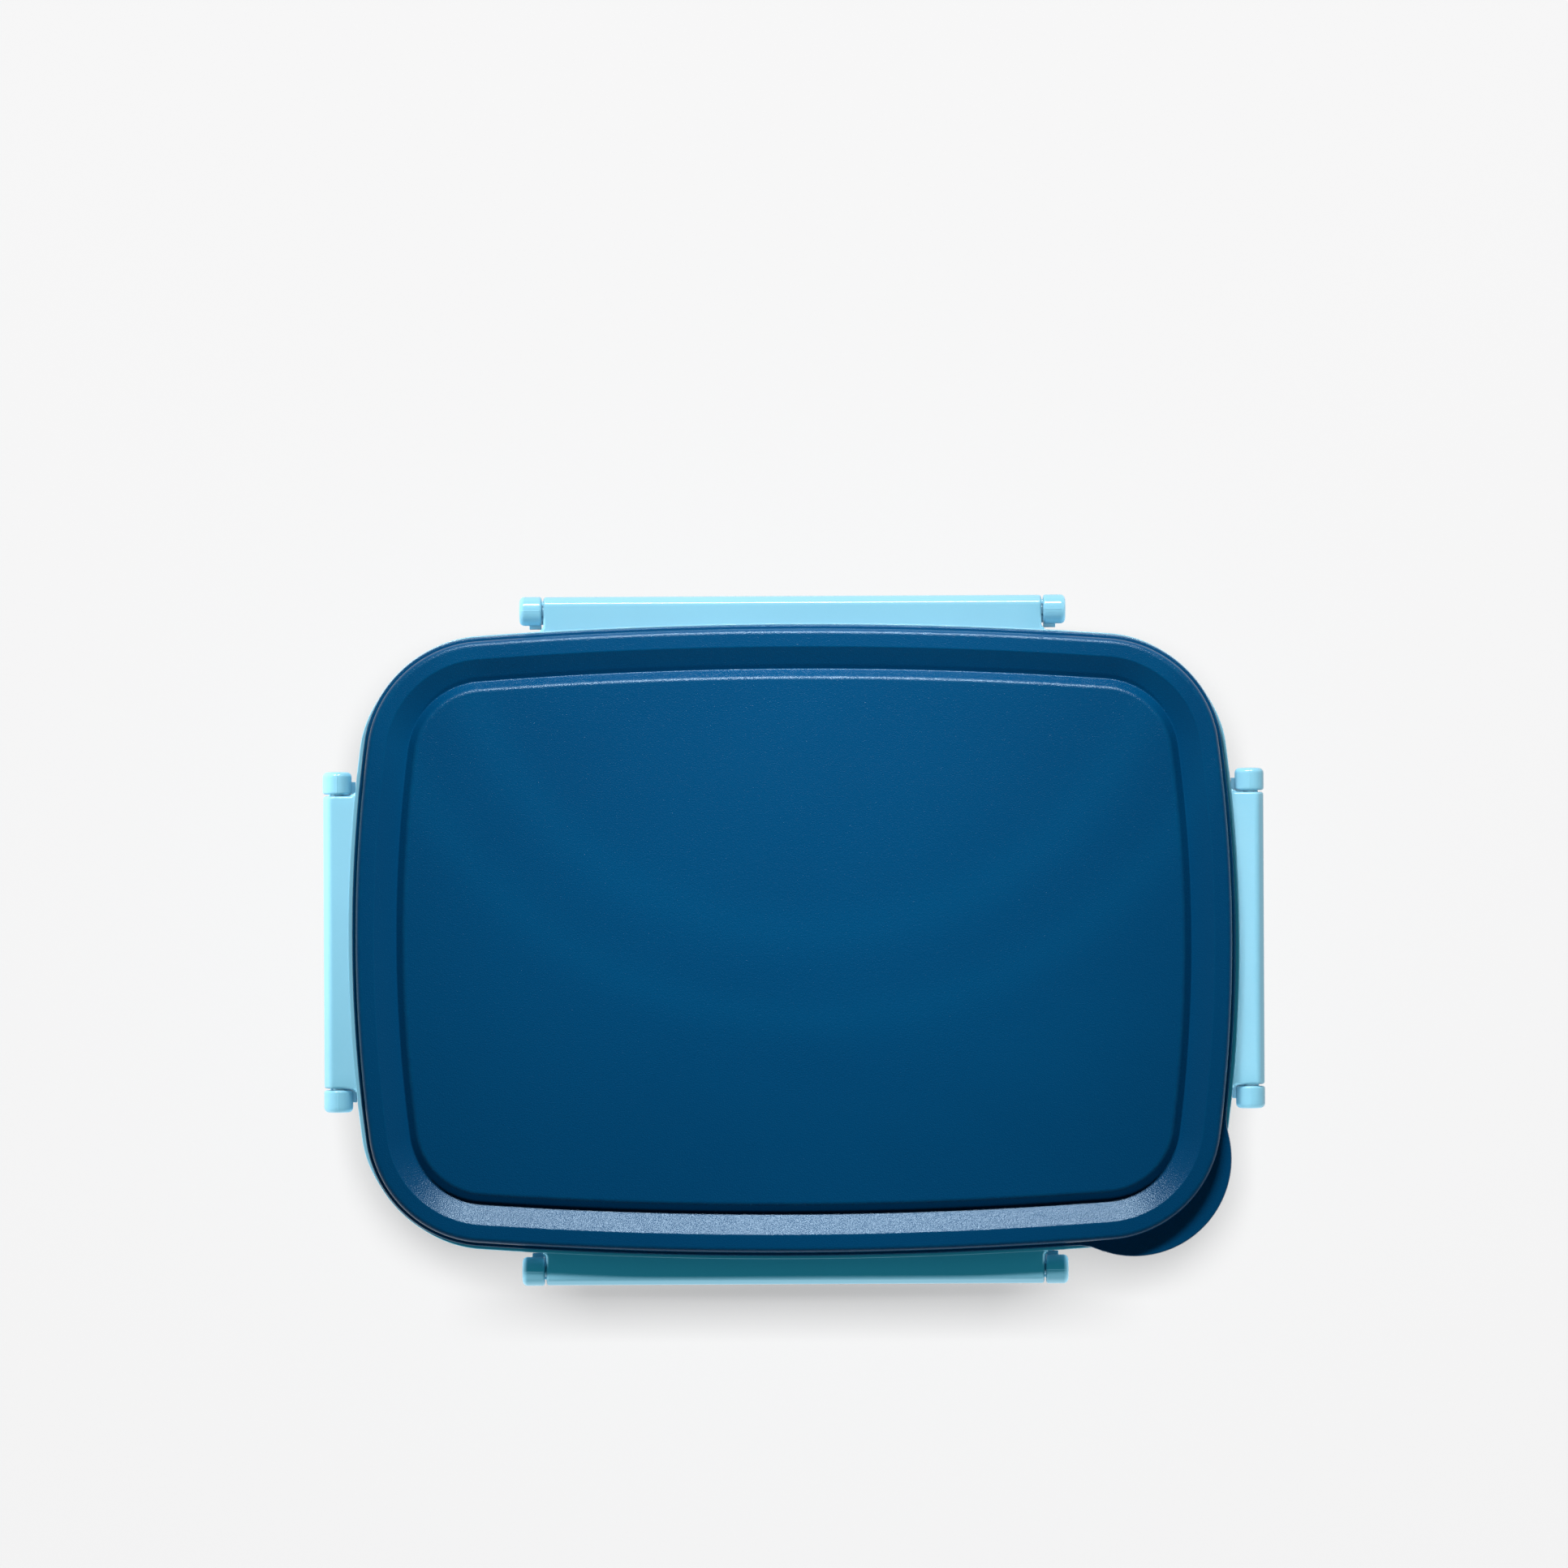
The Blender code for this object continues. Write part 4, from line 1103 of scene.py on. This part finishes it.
def edge_wear():
    """Rubbed edges with a painted highlight on them: the share of edge at a point, broken up by noise."""
    group, nodes, taken, given = new_group("Edge wear", {"Breaks": 600.0}, "Wear and highlight")
    # Edges paler for real wear and as a painted highlight where light would catch them
    edge = nodes.add("ShaderNodeAttribute", attribute_name="wear_and_highlight_edge")
    open_part = nodes.ranged(nodes.noise(taken["Breaks"], WEAR_AND_HIGHLIGHT_NOISE), WEAR_AND_HIGHLIGHT_RANGE, UNIT)
    nodes.fill(given, nodes.math("MULTIPLY", edge.outputs["Fac"], open_part))
    return group


def dust_specks():
    """A few specks of dust: small balls round some of the points of a Voronoi pattern."""
    values = {"Scale": 90.0, "Share": 0.1, "Size": 0.016}
    group, nodes, taken, given = new_group("Dust specks", values, "Speck")
    cells = nodes.add("ShaderNodeTexVoronoi", {"Vector": nodes.place(), "Scale": taken["Scale"]})
    parts = nodes.add("ShaderNodeSeparateColor", {0: cells.outputs["Color"]})
    chosen = nodes.math("LESS_THAN", parts.outputs[0], taken["Share"])
    size = nodes.math("MULTIPLY", parts.outputs[1], taken["Size"])
    near = nodes.math("LESS_THAN", cells.outputs["Distance"], size)
    nodes.fill(given, nodes.math("MULTIPLY", chosen, near))
    return group


GRAIN = moulded_grain()
FLOW = flow_marks()
WEAR_AND_HIGHLIGHT = edge_wear()
DUST = dust_specks()


def new_finish(name):
    """A new material: its nodes' short hand and its shader."""
    material = bpy.data.materials.new(name)
    material.use_nodes = True
    return material, Nodes(material.node_tree), material.node_tree.nodes["Principled BSDF"]


def plastic(name, grain, drift, tones, roughness, depth):
    """A material whose grain moves its roughness and its normal, and a tone that drifts between two."""
    material, nodes, shader = new_finish(name)
    height = nodes.effect(GRAIN, {"Scale": grain})
    bump = nodes.add("ShaderNodeBump", {"Height": height, "Strength": 1.0, "Distance": depth})
    nodes.fill(shader.inputs["Roughness"], nodes.ranged(height, UNIT, roughness))
    nodes.fill(shader.inputs["Normal"], bump.outputs[0])
    tone = nodes.mix(nodes.effect(FLOW, {"Scale": drift}), *tones)
    return material, nodes, shader, tone


def weathered_and_highlighted(nodes, tone, breaks, wear, rubbed, specks, dust):
    """A tone with edges paler from wear and a painted highlight, and specks of dust over them."""
    edge = nodes.math("MULTIPLY", nodes.effect(WEAR_AND_HIGHLIGHT, {"Breaks": breaks}), wear)
    speck = nodes.math("MULTIPLY", nodes.effect(DUST, specks), DUST_SHARE)
    return nodes.mix(speck, nodes.mix(edge, tone, rubbed), dust)


def painted_sheen_rings(nodes):
    """Painted sheen: faint pale rings that stand in for light caught by shallow ripples in the panel, round a
    point at the back.

    Each ring is a bell curve of the distance from that point, about the ring's radius.
    """
    flat = nodes.add("ShaderNodeVectorMath", {0: nodes.place(), 1: (1.0, 1.0, 0.0)}, operation="MULTIPLY")
    distance = nodes.distance(flat.outputs[0], SHEEN_RING_CENTRE)
    total = 0.0
    for radius, width, strength in SHEEN_RINGS:
        off = nodes.math("DIVIDE", nodes.math("SUBTRACT", distance, radius), width)
        bell = nodes.math("EXPONENT", nodes.math("MULTIPLY", nodes.math("MULTIPLY", off, off), -1.0))
        total = nodes.math("ADD", nodes.math("MULTIPLY", bell, strength), total)
    return total


def lid_finish():
    """Dark blue plastic with a fine matte grain and faint rings of painted sheen, paler at its edges from
    wear and a painted highlight.
    """
    material, nodes, shader, tone = plastic("lid_blue", **LID_LOOK)
    # Painted sheen: pale rings mixed into the lid's tone where ripples in the panel would catch light
    sheen_ringed = nodes.mix(painted_sheen_rings(nodes), tone, SHEEN_RING_TONE)
    # Base colour with edges paler from wear and from a painted highlight, and dust specks
    nodes.fill(shader.inputs["Base Color"], weathered_and_highlighted(nodes, sheen_ringed, **LID_WEAR_HIGHLIGHT_AND_DUST))
    shader.inputs["Specular IOR Level"].default_value = LID_SPECULAR
    shader.inputs["Specular Tint"].default_value = LID_SPECULAR_TINT
    return material


def body_finish():
    """Light blue glossy plastic, with slow flow marks, edges paler from wear and a painted highlight, and a
    little dust.
    """
    material, nodes, shader, tone = plastic("body_blue", **BODY_LOOK)
    # Base colour with edges paler from wear and from a painted highlight, and dust specks
    nodes.fill(shader.inputs["Base Color"], weathered_and_highlighted(nodes, tone, **BODY_WEAR_HIGHLIGHT_AND_DUST))
    shader.inputs["Specular IOR Level"].default_value = BODY_SPECULAR
    return material


def seal_finish():
    """Milky silicone with a soft satin face."""
    material, nodes, shader, tone = plastic("seal_silicone", **SEAL_LOOK)
    nodes.fill(shader.inputs["Base Color"], tone)
    shader.inputs["Subsurface Weight"].default_value = SEAL_SCATTER
    shader.inputs["Subsurface Radius"].default_value = SEAL_SCATTER_RADIUS
    return material


# Stage, light and camera

PALE = 0.939

# Floor: its size, its own shade and glow, and the glow that makes up for its lamps' fall-off
FLOOR_SIZE = 12.0
FLOOR_GAP = 0.0002
FLOOR_ALBEDO = 0.06
FLOOR_GLOW = 0.11
FLOOR_LIT = 0.829
FLOOR_LAMP_POINT = (0.0, 0.46, 0.0)
FLOOR_LAMP_HEIGHT = 4.0
FLOOR_FADE = (0.6, 2.0)

# Surroundings: light from the sides and from overhead, and the rises over which they change
SKY_LIGHT = 0.06
SKY_OVERHEAD = 0.005
SKY_RISE = (0.6, 0.88)
HORIZON_RISE = (0.0, 0.15)

# Strip lamps: name, what they light, place, length, width, spread in degrees, power, and whether matte
# faces take their light or only reflections show it
STRIP_AIM = (0.0, -0.02, 0.06)
STRIPS = (
    ("lid_strip", "lid", (0.0, 0.31, 0.31), 0.2, 0.04, 70, 0.42, True),
    ("body_strip", "others", (-1.13, 3.1, 2.34), 0.8, 0.4, 180, 142.0, True),
    ("front_strip", "front", (-1.13, 3.1, 2.34), 0.8, 0.4, 180, 236.0, True),
    ("shine_strip", "others", (0.0, 3.3, 2.34), 2.4, 0.4, 180, 330.0, False),
)

# Sun lamps with no shine of their own: name, what they light, bearing and elevation in degrees, strength
SUNS = (
    ("front_side", "all", -90, -4.5, 0.6),
    ("left_side", "all", 180, -4.5, 0.7),
    ("right_side", "all", 0, -4.5, 0.55),
    ("lid_front", "lid", -90, 25, 0.22),
    ("rear_top", "rear", 90, 90, 0.345),
    ("left_top", "left", 90, 90, 0.2),
    ("right_top", "right", 90, 90, 0.44),
)
SUN_WIDTH = math.radians(8)

# Fill from above, and the spot on the left bar
FILL_LIGHT = 0.18
FILL_COLOUR = (0.0, 0.85, 1.0)
FILL_WIDTH = math.radians(120)
LEFT_LIGHT = 2.4
LEFT_PLACE = (-0.45, 0.13, 0.27)
LEFT_AIM = (-0.107, 0.047, 0.058)
LEFT_SIZE = 0.02
LEFT_CONE = math.radians(16)
LEFT_BLEND = 0.3

# Lamps over the floor: name, what shades it, strength, distance back, height, width and length
FLOOR_LAMPS = (
    ("shell_shadow", "shell", 6.9, 0.34, 4.0, 0.85, 0.82),
    ("front_shadow", "front", 7.5, 0.58, 4.0, 2.6, 0.86),
)

# Camera: straight down, the photograph's frame being 1932 px across
FRAME_PIXELS = 1932
PIXEL = 0.0001898
OBJECT_PIXEL = (978.2, 1158.6)
CAMERA_DISTANCE = 3.0
CAMERA_LEVEL = 0.06
CAMERA_ROLL = math.radians(-0.28)
CAMERA_CLIP = 100
SENSOR = 36.0


def make_floor():
    """Pale floor: a diffuse share that takes the shadow, and a glow for the camera and reflections alone.

    A lamp's light on a floor falls as one over the square of 1 + (distance / height) squared, and far
    from the box the glow makes up what is lost, so that the floor stays pale to its edge.
    """
    mesh = bpy.data.meshes.new("floor")
    half = FLOOR_SIZE / 2
    corners = [(x * half, y * half, -FLOOR_GAP) for x, y in ((-1, -1), (1, -1), (1, 1), (-1, 1))]
    mesh.from_pydata(corners, [], [(0, 1, 2, 3)])
    floor = bpy.data.objects.new("floor", mesh)
    bpy.context.scene.collection.objects.link(floor)
    material, nodes, shader = new_finish("floor_paper")
    shader.inputs["Base Color"].default_value = (FLOOR_ALBEDO, FLOOR_ALBEDO, FLOOR_ALBEDO, 1)
    shader.inputs["Roughness"].default_value = 1.0
    shader.inputs["Specular IOR Level"].default_value = 0.0
    shader.inputs["Emission Color"].default_value = (1, 1, 1, 1)
    distance = nodes.distance(nodes.place(), FLOOR_LAMP_POINT)
    slope = nodes.math("DIVIDE", distance, FLOOR_LAMP_HEIGHT)
    fall = nodes.math("POWER", nodes.math("ADD", nodes.math("MULTIPLY", slope, slope), 1.0), -2.0)
    far = nodes.ranged(distance, FLOOR_FADE, UNIT, interpolation_type="SMOOTHSTEP")
    lost = nodes.math("MULTIPLY", nodes.math("SUBTRACT", 1.0, fall), far)
    level = nodes.math("ADD", nodes.math("MULTIPLY", lost, FLOOR_LIT), FLOOR_GLOW)
    path = nodes.add("ShaderNodeLightPath").outputs
    seen = nodes.math("ADD", path["Is Camera Ray"], path["Is Glossy Ray"])
    seen = nodes.math("ADD", seen, path["Is Transmission Ray"], clamp=True)
    nodes.fill(shader.inputs["Emission Strength"], nodes.math("MULTIPLY", seen, level))
    material.cycles.emission_sampling = "NONE"
    mesh.materials.append(material)
    return floor


def make_world():
    """Pale surroundings, bright near the horizon and dark overhead, that look white to the camera."""
    world = bpy.data.worlds.new("studio")
    bpy.context.scene.world = world
    world.use_nodes = True
    nodes = Nodes(world.node_tree)
    background = world.node_tree.nodes["Background"]
    direction = nodes.add("ShaderNodeTexCoord").outputs["Generated"]
    rise = nodes.add("ShaderNodeSeparateXYZ", {0: direction}).outputs["Z"]
    sky = nodes.ranged(rise, SKY_RISE, (SKY_LIGHT, SKY_OVERHEAD))
    horizon = nodes.ranged(rise, HORIZON_RISE, (PALE, sky))
    path = nodes.add("ShaderNodeLightPath").outputs
    shining = nodes.math("ADD", path["Is Glossy Ray"], path["Is Transmission Ray"], clamp=True)
    mirrored = nodes.ranged(shining, UNIT, (sky, horizon))
    background.inputs["Color"].default_value = (1, 1, 1, 1)
    nodes.fill(background.inputs["Strength"], nodes.ranged(path["Is Camera Ray"], UNIT, (mirrored, PALE)))


def gathered(name, things):
    """A collection of objects for a lamp to light, or to be shaded by."""
    collection = bpy.data.collections.new(name)
    for thing in things:
        collection.objects.link(thing)
    return collection


def new_lamp(name, kind, receivers, place, target, blockers=None, shine=True, **settings):
    """A lamp aimed at a target, for the receivers alone; blockers, where given, alone shade its light."""
    data = bpy.data.lights.new(name, kind)
    for key, value in settings.items():
        setattr(data, key, value)
    lamp = bpy.data.objects.new(name, data)
    bpy.context.scene.collection.objects.link(lamp)
    lamp.light_linking.receiver_collection = gathered(name + "_lit", receivers)
    if blockers is not None:
        lamp.light_linking.blocker_collection = gathered(name + "_blockers", blockers)
    lamp.visible_glossy = shine
    lamp.location = place
    lamp.rotation_euler = (Vector(target) - Vector(place)).to_track_quat("-Z", "Y").to_euler()
    return lamp


def panel_light(name, receivers, place, target, length, width, spread, power, blockers=None):
    """A rectangular lamp of a given spread."""
    return new_lamp(name, "AREA", receivers, place, target, blockers, shape="RECTANGLE",
                    size=length, size_y=width, spread=spread, energy=power)


def floor_light(name, floor, blockers, strength, back, height, width, length):
    """A lamp straight over the floor; strength is how many times white it lights it."""
    power = strength * (math.pi * height) ** 2
    place = (0.0, back, height)
    panel_light(name, [floor], place, (0.0, back, 0.0), width, length, math.pi, power, blockers)


def sun_light(name, receivers, blockers, bearing, elevation, strength):
    """A far lamp with no shine, whose light on a face square to it is strength times that face's colour."""
    bearing = math.radians(bearing)
    elevation = math.radians(elevation)
    level = math.cos(elevation)
    place = (level * math.cos(bearing), level * math.sin(bearing), math.sin(elevation))
    new_lamp(name, "SUN", receivers, place, (0, 0, 0), blockers, shine=False,
             energy=strength * math.pi, angle=SUN_WIDTH)


def piece_groups(pieces):
    """The groups of pieces that lamps light or are shaded by: by the end of a name, the lid and the rest."""
    groups = {"all": pieces}
    for end in ("shell", "rear", "left", "front", "right"):
        groups[end] = [piece for piece in pieces if piece.name.endswith("_" + end)]
    groups["lid"] = [piece for piece in pieces if piece.name == "lid_shell"]
    groups["bodies"] = [piece for piece in pieces if piece not in groups["lid"]]
    groups["others"] = [piece for piece in groups["bodies"] if piece not in groups["front"]]
    return groups


def make_lamps(pieces, floor):
    """Strips behind the box, the fill, suns at its sides and over it, the left spot and the floor's lamps."""
    groups = piece_groups(pieces)
    for name, lit, place, length, width, spread, power, matte in STRIPS:
        lamp = panel_light(name, groups[lit], place, STRIP_AIM, length, width, math.radians(spread), power)
        lamp.visible_diffuse = matte
    new_lamp("fill_light", "SUN", groups["bodies"], (0, 0, 1), (0, 0, 0), shine=False,
             energy=FILL_LIGHT * math.pi, angle=FILL_WIDTH, color=FILL_COLOUR)
    for name, lit, *values in SUNS:
        sun_light(name, groups[lit], pieces, *values)
    new_lamp("left_light", "SPOT", groups["left"], LEFT_PLACE, LEFT_AIM, shine=False, energy=LEFT_LIGHT,
             spot_size=LEFT_CONE, spot_blend=LEFT_BLEND, shadow_soft_size=LEFT_SIZE)
    for name, shading, *values in FLOOR_LAMPS:
        floor_light(name, floor, groups[shading], *values)


def make_camera():
    """Camera straight above, far off, with the box at its place in the photograph's frame."""
    data = bpy.data.cameras.new("camera")
    data.sensor_width = SENSOR
    data.lens = SENSOR * CAMERA_DISTANCE / (FRAME_PIXELS * PIXEL)
    data.clip_end = CAMERA_CLIP
    camera = bpy.data.objects.new("camera", data)
    bpy.context.scene.collection.objects.link(camera)
    right = (OBJECT_PIXEL[0] - FRAME_PIXELS / 2) * PIXEL
    down = (OBJECT_PIXEL[1] - FRAME_PIXELS / 2) * PIXEL
    cosine = math.cos(CAMERA_ROLL)
    sine = math.sin(CAMERA_ROLL)
    x = -right * cosine - down * sine
    y = down * cosine - right * sine
    camera.location = (x, y, CAMERA_LEVEL + CAMERA_DISTANCE)
    camera.rotation_euler = (0, 0, CAMERA_ROLL)
    bpy.context.scene.camera = camera


body_blue = body_finish()
make_tub(body_blue)
make_tray(body_blue)
make_seal(seal_finish())
make_lid(lid_finish())
make_bars_and_clips(body_blue)
pieces = [thing for thing in bpy.context.scene.objects if thing.name in PIECE_NAMES]
make_lamps(pieces, make_floor())
make_world()
make_camera()
bpy.context.scene.view_settings.view_transform = "Standard"
